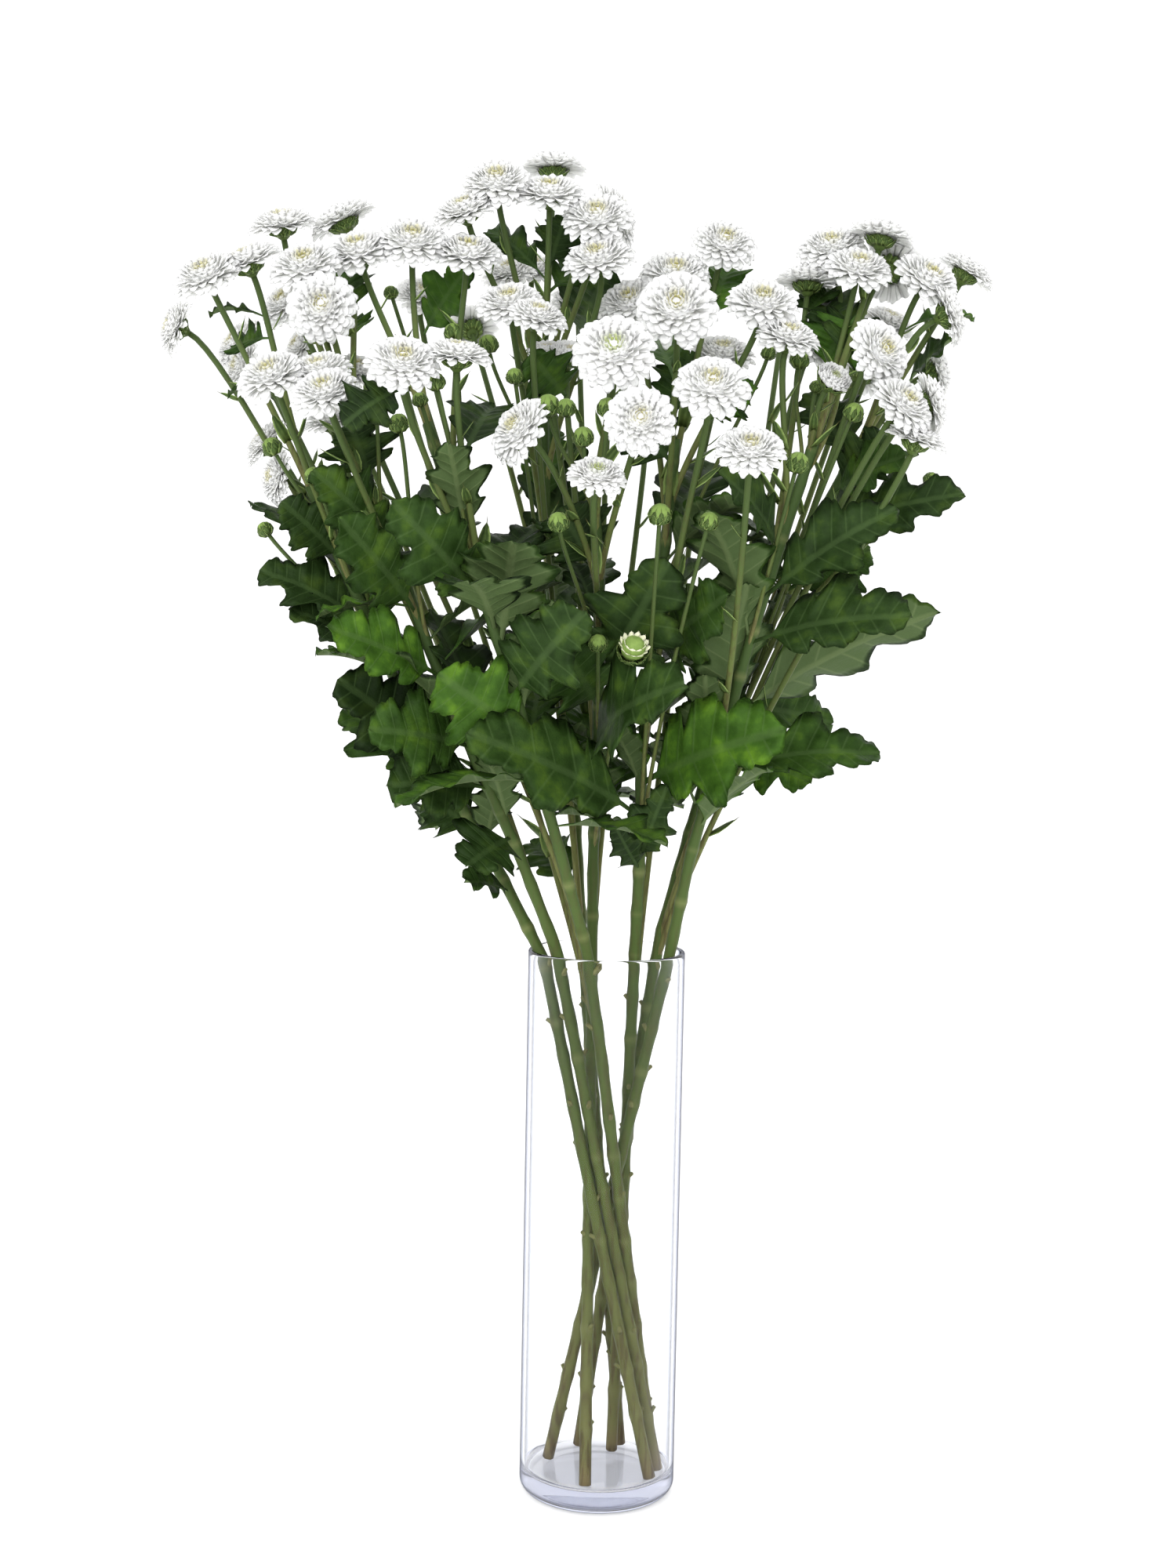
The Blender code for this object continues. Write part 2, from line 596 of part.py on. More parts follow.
def leaf_piece(base, tip, face, width, extra=0.0):
    """A lobed blade on its own stalk: thick along the rib, thin at the edge, arched and folded."""
    reach = tip - base
    length = reach.length + extra
    way = reach.normalized()
    up = (face - way * face.dot(way)).normalized()
    across = way.cross(up)
    half = width / 2 + extra

    def at(share, out, lift):
        arch = LEAF_ARCH * length * (share - share**2) * 2
        rise = arch + abs(out) * LEAF_FOLD + lift
        return base + way * (share * length) + across * out + up * rise

    thick = LEAF_THICKNESS / 2 + extra
    rib = [at(share, 0, thick) for share in LEAF_RIB_SHARES]
    under = [at(share, 0, -thick) for share in LEAF_RIB_SHARES]
    right = [at(share, out * half, 0) for share, out in LEAF_OUTLINE[:-1]]
    left = [at(share, -out * half, 0) for share, out in LEAF_OUTLINE[:-1]]
    points = rib + under + right + left + [at(1, 0, 0)]
    last = len(points) - 1
    tops = list(range(len(rib)))
    lows = [k + len(rib) for k in tops]
    rights = [k + 2 * len(rib) for k in range(len(right))] + [last]
    lefts = [k + 2 * len(rib) + len(right) for k in range(len(left))] + [last]
    faces = [(tops[0], lefts[0], lows[0], rights[0])]
    shares = [share for share, _ in LEAF_OUTLINE]
    for edge, flip in ((rights, False), (lefts, True)):
        for spine, under_side in ((tops, False), (lows, True)):
            at_edge = at_spine = 0
            while at_edge < len(edge) - 1:
                a, b = edge[at_edge], spine[at_spine]
                next_rib = LEAF_RIB_SHARES[at_spine + 1] if at_spine + 1 < len(spine) else 2
                if next_rib <= shares[at_edge + 1]:
                    at_spine += 1
                    face_points = (a, spine[at_spine], b)
                else:
                    at_edge += 1
                    face_points = (a, edge[at_edge], b)
                faces.append(face_points if flip == under_side else face_points[::-1])
    return Piece(points, faces)


def leaf_face(roll):
    """The side a leaf shows: roll 0 faces up, 90 the front, 180 down and -90 the back."""
    return Vector((0, -math.sin(math.radians(roll)), math.cos(math.radians(roll))))


def leaf_options(runs, leaf):
    """Ways to hold a seen leaf, the seen one first: its tip nearer or farther, its roll, and its base.

    The base is on the stem or stalk that passes nearest to where the leaf is seen to grow.
    """
    near = []
    for run in runs:
        gaps = [(point - sight(leaf.base[0], leaf.base[1], point.y)).length for point in run]
        near.append((min(gaps), gaps.index(min(gaps)), run))
    near.sort(key=lambda found: found[0])
    for _, k, run in near[:3]:
        for shift in (0, 1, -1, 2, -2):
            base = run[min(max(k + shift, 1), len(run) - 2)]
            for nearer in (0.0, -0.012, 0.012, -0.024, 0.024, -0.038, 0.038):
                tip = sight(leaf.tip[0], leaf.tip[1], leaf.depth + nearer)
                for roll in (0, 25, -25):
                    yield base, tip, leaf_face(leaf.roll + roll), leaf.width * LEAF_SPREAD


def ruled_leaf_options(path, share, side, number):
    """Ways to hold a ruled leaf: round the stem by the golden angle, then to either side of that."""
    first = STEM_FINE * 4 // 10
    k = int(first + share * (len(path) - 3 - first))
    base = path[k]
    for turn in (0, 25, -25, 50, -50, 75, -75, 100, -100):
        for climb in (35, 55, 15, 70, -5):
            for size in (1.0, 0.8, 0.62):
                angle = side * (number * GOLDEN_ANGLE / 2 % math.pi) + math.radians(turn)
                lift = math.radians(climb)
                level = math.cos(lift)
                way = Vector((math.cos(angle) * level, math.sin(angle) * level, math.sin(lift)))
                tip = base + way * (RULED_LEAF_LENGTH * size)
                face = Vector((-way.x * 0.4, -way.y * 0.4, 1))
                yield base, tip, face, RULED_LEAF_WIDTH * size


def tree_of(pieces):
    points = []
    faces = []
    for piece in pieces:
        faces.extend(tuple(k + len(points) for k in face) for face in piece.faces)
        points.extend(piece.points)
    return BVHTree.FromPolygons(points, faces)


class Crowd:
    """All pieces made so far, kept per owner and kind, so that a new piece can keep clear of them."""

    def __init__(self):
        self.pieces = {}
        self.trees = {}

    def add(self, owner, kind, piece):
        key = (owner, kind)
        self.pieces.setdefault(key, []).append(piece)
        self.trees[key] = tree_of(self.pieces[key])

    def clear(self, owner, piece):
        """Whether a piece of this owner is clear of all that others own."""
        tree = tree_of([piece])
        return not any(tree.overlap(self.trees[key]) for key in self.trees if key[0] != owner)

    def crosses_own(self, owner, piece):
        """Whether a piece of this owner crosses what the owner has, apart from its main stem."""
        own = self.trees.get((owner, "side"))
        return own is not None and bool(tree_of([piece]).overlap(own))


def vase_piece():
    """A turned glass with a thick base, rounded at its foot, inside its floor and on its rim."""
    inner = VASE_RADIUS - VASE_WALL
    lip = VASE_WALL / 2
    profile = [(0, 0)]
    for degrees in (0, 30, 60, 90):
        angle = math.radians(degrees)
        out = VASE_RADIUS - VASE_FOOT_ROUND * (1 - math.sin(angle))
        profile.append((out, VASE_FOOT_ROUND * (1 - math.cos(angle))))
    profile.append((VASE_RADIUS, VASE_HEIGHT - lip))
    for degrees in (45, 90, 135, 180):
        angle = math.radians(degrees)
        out = VASE_RADIUS - lip + lip * math.cos(angle)
        profile.append((out, VASE_HEIGHT - lip + lip * math.sin(angle)))
    for degrees in (0, 45, 90):
        angle = math.radians(degrees)
        out = inner - VASE_INNER_ROUND * (1 - math.cos(angle))
        profile.append((out, VASE_FLOOR + VASE_INNER_ROUND * (1 - math.sin(angle))))
    profile.append((0, VASE_FLOOR))
    rings = []
    for out, height in profile:
        centre = Vector((0, 0, height))
        sides = VASE_SIDES if out else 1
        rings.append(ring(centre, Vector((1, 0, 0)), Vector((0, 1, 0)), out, sides))
    return skin(rings)


def material(name, colour, roughness, see_through=0.0):
    made = bpy.data.materials.new(name)
    made.use_nodes = True
    shader = made.node_tree.nodes["Principled BSDF"]
    shader.inputs["Base Color"].default_value = colour
    shader.inputs["Roughness"].default_value = roughness
    shader.inputs["Transmission Weight"].default_value = see_through
    return made


def mesh_object(name, piece, where):
    mesh = bpy.data.meshes.new(name)
    mesh.from_pydata([tuple(p) for p in piece.points], [], piece.faces)
    made = bpy.data.objects.new(name, mesh)
    where.objects.link(made)
    return made


def fused(name, pieces, look, rounded):
    """One object from pieces that overlap."""
    scene = bpy.context.scene.collection
    body = mesh_object(name, pieces[0], scene)
    if len(pieces) > 1:
        rest = bpy.data.collections.new(name + "_rest")
        scene.children.link(rest)
        others = [mesh_object(f"{name}_{k}", piece, rest) for k, piece in enumerate(pieces[1:])]
        union = body.modifiers.new("union", "BOOLEAN")
        union.operation = "UNION"
        union.operand_type = "COLLECTION"
        union.collection = rest
        union.solver = "EXACT"
        bpy.context.view_layer.update()
        graph = bpy.context.evaluated_depsgraph_get()
        joined = bpy.data.meshes.new_from_object(body.evaluated_get(graph))
        body.modifiers.clear()
        body.data = joined
        for other in others:
            bpy.data.objects.remove(other, do_unlink=True)
        bpy.data.collections.remove(rest)
    body.data.materials.clear()
    body.data.materials.append(look)
    body.data.shade_smooth()
    body.data.set_sharp_from_angle(angle=math.radians(rounded))
    return body


def bloom_groups(blooms):
    """Names of the blooms that touch, together, in their own order."""
    names = list(blooms)
    trees = {name: tree_of([blooms[name]]) for name in names}
    group = {name: name for name in names}
    for k, name in enumerate(names):
        for other in names[k + 1 :]:
            if trees[name].overlap(trees[other]):
                old, new = group[other], group[name]
                group = {key: new if value == old else value for key, value in group.items()}
    found = {}
    for name in names:
        found.setdefault(group[name], []).append(name)
    return list(found.values())


def first_clear(crowd, owner, options, whole, outer):
    """The first way in which a piece, made a little thicker, keeps clear of what others own.

    A way in which its outer part doesn't cross its own spray either goes before.
    """
    second = None
    for option in options:
        if crowd.clear(owner, whole(option)):
            if not crowd.crosses_own(owner, outer(option)):
                return option
            second = second or option
    if second is None:
        raise ValueError(f"no clear place for a piece of {owner}")
    return second


def build():
    for old in list(bpy.data.objects):
        bpy.data.objects.remove(old, do_unlink=True)

    blooms = {head.name: bloom(head, number) for number, head in enumerate(HEADS)}
    groups = bloom_groups(blooms)
    owner_of = {name: "bloom_" + "_".join(names) for names in groups for name in names}
    paths = {letter: stem_path(stem) for letter, stem in STEMS.items()}
    greens = {letter: [main_stem(path)] for letter, path in paths.items()}
    runs = {letter: [path[STEM_FINE // 3 :]] for letter, path in paths.items()}
    crowd = Crowd()
    crowd.add("vase", "glass", vase_piece())
    for name, piece in blooms.items():
        crowd.add(owner_of[name], "bloom", piece)
    for letter, pieces in greens.items():
        crowd.add(letter, "stem", pieces[0])

    def keep(letter, piece):
        greens[letter].append(piece)
        crowd.add(letter, "side", piece)

    def lead(letter, neck, way, radius, shares):
        """A clear curve for a stalk of this spray."""
        options = stalk_options()
        path = paths[letter]

        def thicker(option):
            curve = stalk_curve(path, neck, way, *option)
            return stalk(curve, radius, shares + (0.999,), CLEARANCE)

        option = first_clear(
            crowd, letter, options, lambda o: skin(thicker(o)), lambda o: skin(thicker(o)[1:])
        )
        return stalk_curve(path, neck, way, *option)

    for head in HEADS:
        letter = head.name[0]
        way = facing(head.turn, head.tilt)
        ends = lead(letter, bloom_seat(head) - way * CUP_DEPTH, way, STALK_RADIUS, STALK_SHARES)
        keep(letter, flower_stalk(head, ends))
        corners = [bezier(ends, share) for share in STALK_SHARES] + [ends[3]]
        runs[letter].append(fine_line(corners, STALK_STEPS)[:-2])
    for bud in BUDS:
        letter = bud.name[0]
        spot = sight(bud.x, bud.y, bud.depth)
        way = (spot - paths[letter][STEM_FINE * 7 // 10]).normalized()
        ends = lead(letter, spot - way * (bud.width / 2), way, BUD_STALK_RADIUS, BUD_STALK_SHARES)
        keep(letter, bud_piece(bud, ends))

    def thick_leaf(option):
        return leaf_piece(*option, extra=CLEARANCE)

    for leaf in LEAVES:
        options = leaf_options(runs[leaf.stem], leaf)
        option = first_clear(crowd, leaf.stem, options, thick_leaf, thick_leaf)
        keep(leaf.stem, leaf_piece(*option))
    number = 0
    for share, side in RULED_LEAVES:
        for letter, path in paths.items():
            number += 1
            options = ruled_leaf_options(path, share, side, number)
            option = first_clear(crowd, letter, options, thick_leaf, thick_leaf)
            keep(letter, leaf_piece(*option))

    foliage = material("foliage", FOLIAGE_COLOUR, 0.55)
    petals = material("petals", PETAL_COLOUR, 0.6)
    glass = material("glass", GLASS_COLOUR, 0.04, 1.0)
    fused("vase", [vase_piece()], glass, 35)
    for letter, pieces in greens.items():
        fused("spray_" + letter, pieces, foliage, 50)
    for names in groups:
        fused(owner_of[names[0]], [blooms[name] for name in names], petals, 30)


build()
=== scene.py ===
"""The looks of a bunch of white pompon chrysanthemums in a clear glass cylinder vase.

Every piece repeats the places of the solid model: the same rows of stems, blooms, buds and leaves,
with petals, bracts, veins and stem detail made at their real size round them.
"""

import math
from collections import namedtuple
from itertools import product

import bpy
import numpy as np
from mathutils import Matrix, Vector
from mathutils.kdtree import KDTree


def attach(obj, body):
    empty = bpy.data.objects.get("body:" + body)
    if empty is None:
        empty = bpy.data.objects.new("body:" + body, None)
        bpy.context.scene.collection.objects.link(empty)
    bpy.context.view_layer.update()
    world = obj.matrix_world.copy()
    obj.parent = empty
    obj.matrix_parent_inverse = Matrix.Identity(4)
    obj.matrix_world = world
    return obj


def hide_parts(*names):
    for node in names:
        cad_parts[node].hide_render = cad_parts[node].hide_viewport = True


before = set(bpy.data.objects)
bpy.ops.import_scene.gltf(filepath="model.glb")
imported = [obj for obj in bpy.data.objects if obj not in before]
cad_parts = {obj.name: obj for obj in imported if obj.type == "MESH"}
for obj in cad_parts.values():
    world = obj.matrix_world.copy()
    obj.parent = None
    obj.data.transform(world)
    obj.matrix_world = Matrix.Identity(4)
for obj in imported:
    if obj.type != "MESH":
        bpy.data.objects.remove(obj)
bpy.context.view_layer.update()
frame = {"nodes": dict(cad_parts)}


# Vase
VASE_RADIUS = 0.050
VASE_HEIGHT = 0.350
VASE_WALL = 0.003
VASE_FLOOR = 0.014
VASE_FOOT_ROUND = 0.008
VASE_INNER_ROUND = 0.005

# Stems, stalks and buds
SEAT_GAP = 0.0003
STEM_RADIUS_FLOOR = 0.0036
STEM_RADIUS_RIM = 0.0034
STEM_RADIUS_CROWN = 0.0030
STEM_RINGS = 11
STEM_STEPS = 12
STEM_FINE = (STEM_RINGS - 1) * STEM_STEPS + 1
LOWEST_BRANCH = STEM_FINE * 4 // 10
CROWN_HEIGHT = 0.70
STALK_RADIUS = 0.0018
STALK_SIDES = 4
STALK_SHARES = (0.0, 0.45, 0.85)
BUD_STALK_SHARES = (0.0, 0.55)
STALK_STEPS = 8
STALK_SHORTEST = 0.040
STALK_SPREAD = math.radians(22)
STALK_BEND = 0.022
BUD_STALK_RADIUS = 0.0012

# The green cup under a bloom: its height, and its radius as a share of the bloom's
CUP_DEPTH = 0.0065
CUP_RADIUS_SHARE = 0.40

# How far the middle of a bloom is above the middle of its underside, as a share of its radius
BLOOM_CENTRE_SHARE = 0.35
LEAF_FOLD = 0.22
LEAF_ARCH = 0.16

# The front view: where the eye is, how it looks, and the frame that sightlines are counted in
EYE = Vector((-0.014, -1.290, 0.538))
EYE_PITCH = math.radians(3.66)
EYE_ROLL = math.radians(1.1)
EYE_FORWARD = Vector((0, math.cos(EYE_PITCH), -math.sin(EYE_PITCH)))
EYE_UP = Vector((0, math.sin(EYE_PITCH), math.cos(EYE_PITCH)))
FRAME_WIDTH_PX = 1500
FRAME_HEIGHT_PX = 2000
FOCAL_PX = 2600
SENSOR_HEIGHT = 36

# A stem: where it stands on the floor and leans at the rim (x, y), then points seen in the front
# view as (across px, down px, depth m), up to the crown where it divides
Stem = namedtuple("Stem", "floor rim seen")

# A bloom: its middle in the front view, depth, width, and the way it faces: turn 0 is to the front
# and 90 to the right, tilt 90 is straight up
Head = namedtuple("Head", "name x y depth width turn tilt")

# A bud: a bloom near it, whose first letter names its stem, then its middle in the front view, depth
# and width
Bud = namedtuple("Bud", "name x y depth width")

# A leaf: base and tip in the front view, depth of the tip, width, and roll about its own length
Leaf = namedtuple("Leaf", "stem base tip depth width roll")

STEMS = {
    "a": Stem((0.033, -0.0207), (-0.0413, -0.0066), (
        (650, 1135, 0.004), (590, 1030, -0.010), (520, 900, -0.022), (450, 750, -0.030), (395, 620, -0.030),
    )),
    "b": Stem((0.0386, -0.0055), (-0.0311, -0.0174), (
        (672, 1112, -0.026), (619, 997, -0.040), (560, 860, -0.048), (500, 700, -0.050), (452, 560, -0.042),
    )),
    "c": Stem((0.0367, 0.0123), (-0.012, -0.0293), (
        (716, 1094, -0.048), (703, 1027, -0.058), (664, 918, -0.072), (630, 800, -0.078), (575, 640, -0.070),
        (545, 540, -0.060),
    )),
    "d": Stem((-0.0073, -0.0345), (-0.0093, 0.0224), (
        (757, 1079, 0.014), (762, 940, -0.010), (765, 800, -0.050), (762, 680, -0.072), (755, 600, -0.080),
    )),
    "e": Stem((0.01, 0.025), (0.018, 0.004), (
        (816, 1091, -0.010), (819, 951, -0.020), (832, 850, -0.026), (848, 700, -0.030), (862, 560, -0.030),
    )),
    "f": Stem((-0.032, 0.01), (0.04, -0.008), (
        (871, 1130, -0.018), (904, 1010, -0.034), (930, 910, -0.046), (965, 790, -0.056), (1010, 650, -0.056),
        (1040, 560, -0.050),
    )),
    "g": Stem((-0.0121, 0.0328), (0.033, 0.0179), (
        (880, 1060, 0.030), (925, 910, 0.034), (985, 780, 0.028), (1050, 650, 0.014), (1100, 560, 0.004),
    )),
    "h": Stem((0.0158, 0.0356), (-0.016, 0.0362), (
        (735, 1060, 0.050), (722, 930, 0.060), (706, 800, 0.060), (696, 650, 0.052), (693, 520, 0.040),
    )),
}

# The rows of blooms, buds and leaves give depths and widths in millimetres. The blooms from b10 on
# are at the back, where the front view hides them.
HEADS = tuple(Head(name, x, y, depth / 1000, width / 1000, *way) for name, x, y, depth, width, *way in (
    ("a1", 217, 414, 40, 38, -65, 20), ("a2", 258, 343, -20, 46, -30, 50),
    ("a3", 312, 325, -6, 44, -50, 62), ("a4", 297, 434, 85, 40, -60, 35),
    ("a5", 303, 464, 65, 38, -60, 15), ("a6", 342, 471, -90, 44, -25, 50),
    ("a7", 333, 560, 70, 38, -70, 40), ("a8", 346, 607, -20, 34, -60, 10),
    ("b1", 358, 277, 30, 44, -20, 70), ("b2", 432, 272, 45, 46, -80, 63),
    ("b3", 387, 330, -30, 46, -15, 50), ("b4", 409, 387, -48, 44, 0, 12),
    ("b5", 360, 380, 80, 40, -40, 40), ("b6", 405, 465, -86, 40, -20, 60),
    ("b7", 412, 492, -112, 42, -15, 50), ("b8", 379, 437, 125, 36, -60, 30),
    ("b9", 421, 529, 10, 36, -30, 70), ("c1", 455, 312, -14, 46, -20, 55),
    ("c2", 526, 299, -14, 46, 5, 50), ("c3", 597, 315, -10, 46, 10, 60),
    ("c4", 540, 371, 90, 38, 20, 50), ("c5", 514, 454, -130, 44, 10, 45),
    ("c6", 584, 444, -116, 40, 15, 75), ("c7", 456, 466, 0, 34, 20, 60),
    ("h1", 633, 224, 10, 46, -5, 50), ("h2", 591, 260, 6, 42, -30, 60),
    ("h3", 648, 341, 110, 38, -20, 60), ("h4", 649, 378, -37, 42, -10, 55),
    ("h5", 687, 396, -60, 38, 25, 60), ("h6", 706, 205, 56, 42, 180, 88),
    ("h7", 701, 238, 10, 46, 0, 62), ("h8", 762, 269, -2, 46, -5, 45),
    ("h9", 794, 269, 30, 44, 80, 30), ("h10", 761, 322, -18, 46, -20, 55),
    ("h11", 680, 336, 130, 38, 10, 60), ("d1", 656, 543, -125, 42, -50, 30),
    ("d2", 783, 440, -140, 48, -5, 30), ("d3", 817, 532, -160, 40, 0, 15),
    ("d4", 762, 600, -150, 34, 10, 55), ("d5", 698, 445, -4, 32, -10, 70),
    ("d6", 728, 448, -22, 32, 20, 60), ("d7", 738, 378, 110, 38, 0, 50),
    ("e1", 803, 379, 4, 44, -20, 45), ("e2", 862, 342, 12, 46, 0, 50),
    ("e3", 863, 385, -100, 48, -5, 25), ("e4", 926, 303, 20, 42, 10, 40),
    ("e5", 974, 378, -60, 44, 5, 50), ("e6", 909, 484, -150, 44, 0, 40),
    ("e7", 922, 444, 30, 44, 5, 62), ("f1", 1030, 350, 20, 42, 180, 88),
    ("f2", 1061, 308, 14, 44, -10, 55), ("f3", 1126, 292, 12, 42, 100, 80),
    ("f4", 1097, 334, -14, 44, 10, 55), ("f5", 1140, 342, 34, 42, 150, 15),
    ("f6", 1008, 422, -70, 40, 20, 60), ("f7", 1041, 437, 20, 36, 40, 50),
    ("f8", 1065, 480, -70, 28, 30, 40), ("f9", 958, 566, -160, 40, 0, 50),
    ("g1", 1188, 349, -6, 46, 35, 45), ("g2", 1218, 397, -10, 40, 80, 25),
    ("g3", 1238, 339, 34, 40, 75, 60), ("g4", 1129, 444, -88, 42, 35, 20),
    ("g5", 1158, 510, -102, 42, 40, 40), ("g6", 1195, 512, -80, 38, 90, 20),
    ("g7", 1172, 552, -92, 38, 60, 70), ("g8", 1136, 405, 70, 38, 40, 60),
    ("g9", 1201, 472, 60, 38, 90, 20), ("g10", 1103, 471, 100, 36, 120, 50),
    ("b10", 420, 498, 150, 40, -150, 50), ("c8", 520, 462, 140, 42, 170, 55),
    ("h12", 600, 415, 160, 38, -165, 40), ("d8", 785, 452, 150, 42, 165, 50),
    ("d9", 820, 540, 140, 36, -170, 30), ("e8", 905, 492, 150, 40, 175, 55),
    ("g11", 1000, 425, 160, 38, 160, 50), ("g12", 1150, 520, 130, 38, 150, 40),
))
BUDS = tuple(Bud(name, x, y, depth / 1000, width / 1000) for name, x, y, depth, width in (
    ("a2", 346, 568, -52, 13), ("a6", 399, 605, -60, 12), ("a8", 337, 674, -10, 11),
    ("a6", 435, 648, -70, 9), ("b6", 508, 538, -90, 13), ("b7", 472, 492, -60, 9),
    ("c4", 498, 372, 40, 10), ("c6", 578, 422, -10, 13), ("c6", 555, 485, -110, 12),
    ("c5", 535, 508, -80, 10), ("h5", 622, 437, 20, 14), ("h4", 656, 478, -50, 11),
    ("d2", 699, 515, -95, 15), ("d5", 722, 518, -100, 12), ("d6", 744, 555, -110, 13),
    ("d1", 712, 664, -120, 13), ("d3", 775, 518, -120, 13), ("e6", 842, 654, -130, 14),
    ("e6", 905, 663, -120, 12), ("e7", 981, 449, 0, 10), ("f6", 1020, 457, -30, 13),
    ("f9", 1018, 588, -110, 14), ("f8", 1042, 492, -50, 9), ("g5", 1090, 524, -70, 13),
    ("g7", 1189, 611, -10, 11), ("d4", 763, 819, -80, 12), ("d4", 808, 826, -100, 18),
    ("d4", 780, 791, -40, 11),
))

# Leaves that the front view shows, and how much wider than their rows all are made
LEAF_SPREAD = 1.18
LEAVES = tuple(
    Leaf(stem, (base_x, base_y), (tip_x, tip_y), depth / 1000, width / 1000, roll)
    for stem, base_x, base_y, tip_x, tip_y, depth, width, roll in (
        ("e", 814, 1045, 588, 938, -85, 55, 60), ("e", 826, 985, 1000, 930, -90, 60, 70),
        ("f", 955, 830, 1163, 786, -100, 52, 55), ("f", 925, 925, 1201, 783, -20, 49, -75),
        ("g", 1040, 690, 1228, 628, 0, 39, 40), ("f", 975, 760, 1141, 646, -85, 44, 60),
        ("f", 912, 975, 1122, 957, -40, 44, 40), ("g", 915, 940, 1035, 1000, 10, 42, 50),
        ("g", 930, 905, 1060, 925, 70, 44, 60), ("a", 470, 800, 331, 728, -30, 42, 40),
        ("a", 500, 860, 366, 780, -70, 44, 60), ("b", 565, 870, 411, 800, -110, 39, 70),
        ("a", 560, 980, 432, 866, -50, 52, 60), ("a", 575, 1005, 440, 908, 20, 47, 50),
        ("b", 600, 950, 470, 930, -90, 49, 70), ("b", 625, 1005, 492, 1003, -70, 47, 60),
        ("a", 610, 1065, 545, 1015, 30, 39, 50), ("b", 650, 1065, 592, 1108, -70, 42, 70),
        ("a", 650, 1135, 592, 1125, -30, 26, 40), ("h", 740, 1130, 676, 1075, 85, 36, 60),
        ("e", 815, 1085, 850, 1005, -50, 26, 70), ("e", 815, 1105, 783, 1050, -45, 21, 70),
        ("c", 675, 945, 560, 860, -130, 52, 80), ("c", 640, 830, 655, 690, -135, 52, -60),
        ("c", 600, 700, 572, 568, -125, 31, -40), ("c", 512, 495, 438, 540, -135, 34, 60),
        ("c", 545, 425, 598, 338, 50, 30, 60), ("a", 361, 429, 297, 446, 20, 28, 60),
        ("a", 330, 410, 266, 399, 30, 8, 30), ("a", 350, 512, 291, 500, 0, 9, 30),
        ("h", 712, 345, 722, 276, 50, 30, 60), ("h", 703, 380, 757, 338, 80, 34, 60),
        ("d", 722, 425, 778, 345, 40, 44, 60), ("e", 900, 425, 931, 340, 50, 40, 60),
        ("e", 860, 482, 826, 426, 30, 36, 70), ("e", 915, 538, 962, 492, -60, 26, 60),
        ("f", 1050, 463, 1102, 402, 20, 38, 60), ("g", 1152, 490, 1216, 435, 20, 32, 50),
        ("g", 1140, 420, 1243, 404, 50, 13, 30), ("f", 1040, 406, 1062, 369, 50, 20, 50),
        ("g", 1060, 630, 1156, 580, -30, 34, 60), ("e", 845, 715, 943, 645, -110, 34, -50),
        ("d", 762, 900, 700, 800, -110, 52, 80), ("d", 764, 840, 850, 720, -120, 52, 80),
        ("e", 835, 830, 930, 760, -110, 49, 75), ("d", 762, 960, 860, 870, -110, 52, 70),
        ("c", 655, 890, 745, 780, -140, 47, 80), ("b", 525, 780, 430, 660, -110, 44, 70),
        ("b", 500, 700, 400, 600, -80, 39, 60), ("a", 440, 730, 360, 640, -60, 39, 60),
        ("c", 620, 770, 500, 640, -130, 44, 80), ("f", 990, 710, 920, 600, -110, 42, 80),
        ("g", 1000, 760, 1110, 700, 60, 44, 50), ("f", 1093, 436, 1036, 376, 50, 36, 60),
        ("f", 1095, 402, 1052, 462, 30, 44, 60), ("e", 978, 494, 900, 528, -40, 44, 70),
        ("h", 680, 357, 622, 290, 60, 22, 60), ("b", 480, 410, 436, 345, 30, 32, 60),
        ("b", 500, 445, 440, 412, 40, 34, 60), ("b", 515, 595, 446, 540, -40, 44, 70),
        ("d", 725, 510, 676, 452, -20, 40, 70), ("c", 690, 570, 632, 512, -40, 42, 70),
        ("g", 1060, 620, 1132, 556, 20, 40, 60), ("g", 1080, 585, 1034, 500, 30, 40, 60),
        ("d", 765, 745, 712, 650, -60, 46, 75), ("e", 850, 590, 790, 520, -40, 42, 70),
        ("e", 850, 540, 880, 452, 20, 40, 70),
    )
)

# Leaves placed by rule on every stem: share of the way up it, and 1 for the back or -1 for the front
RULED_LEAVES = (
    (0.39, -1), (0.52, 1), (0.56, -1), (0.76, 1), (0.43, 1), (0.47, -1), (0.66, 1), (0.70, -1),
    (0.86, 1),
)
RULED_LEAF_LENGTH = 0.096
RULED_LEAF_WIDTH = 0.054
GOLDEN_ANGLE = math.radians(137.5)

# Petals in rows from the outside in: count, then radius and height of the tip, of the bend and of
# the base, width and cupping, all as shares of the bloom's radius
PETAL_ROWS = (
    (17, (1.03, 0.02), (0.82, 0.13), (0.34, 0.08), 0.300, 0.32),
    (17, (0.99, 0.14), (0.79, 0.18), (0.32, 0.10), 0.300, 0.35),
    (17, (0.91, 0.26), (0.74, 0.26), (0.30, 0.12), 0.290, 0.38),
    (17, (0.81, 0.36), (0.68, 0.31), (0.28, 0.14), 0.275, 0.42),
    (16, (0.69, 0.45), (0.60, 0.36), (0.26, 0.16), 0.255, 0.46),
    (15, (0.57, 0.51), (0.51, 0.40), (0.23, 0.18), 0.230, 0.52),
    (13, (0.45, 0.545), (0.42, 0.43), (0.20, 0.20), 0.205, 0.58),
    (11, (0.33, 0.56), (0.32, 0.45), (0.16, 0.22), 0.170, 0.64),
    (9, (0.22, 0.55), (0.22, 0.46), (0.12, 0.23), 0.130, 0.70),
    (7, (0.12, 0.51), (0.13, 0.44), (0.07, 0.25), 0.095, 0.74),
)
PETAL_THICKNESS = 0.016
PETAL_TIP_JITTER = (0.022, 0.026)
PETAL_BEND_JITTER = 0.015
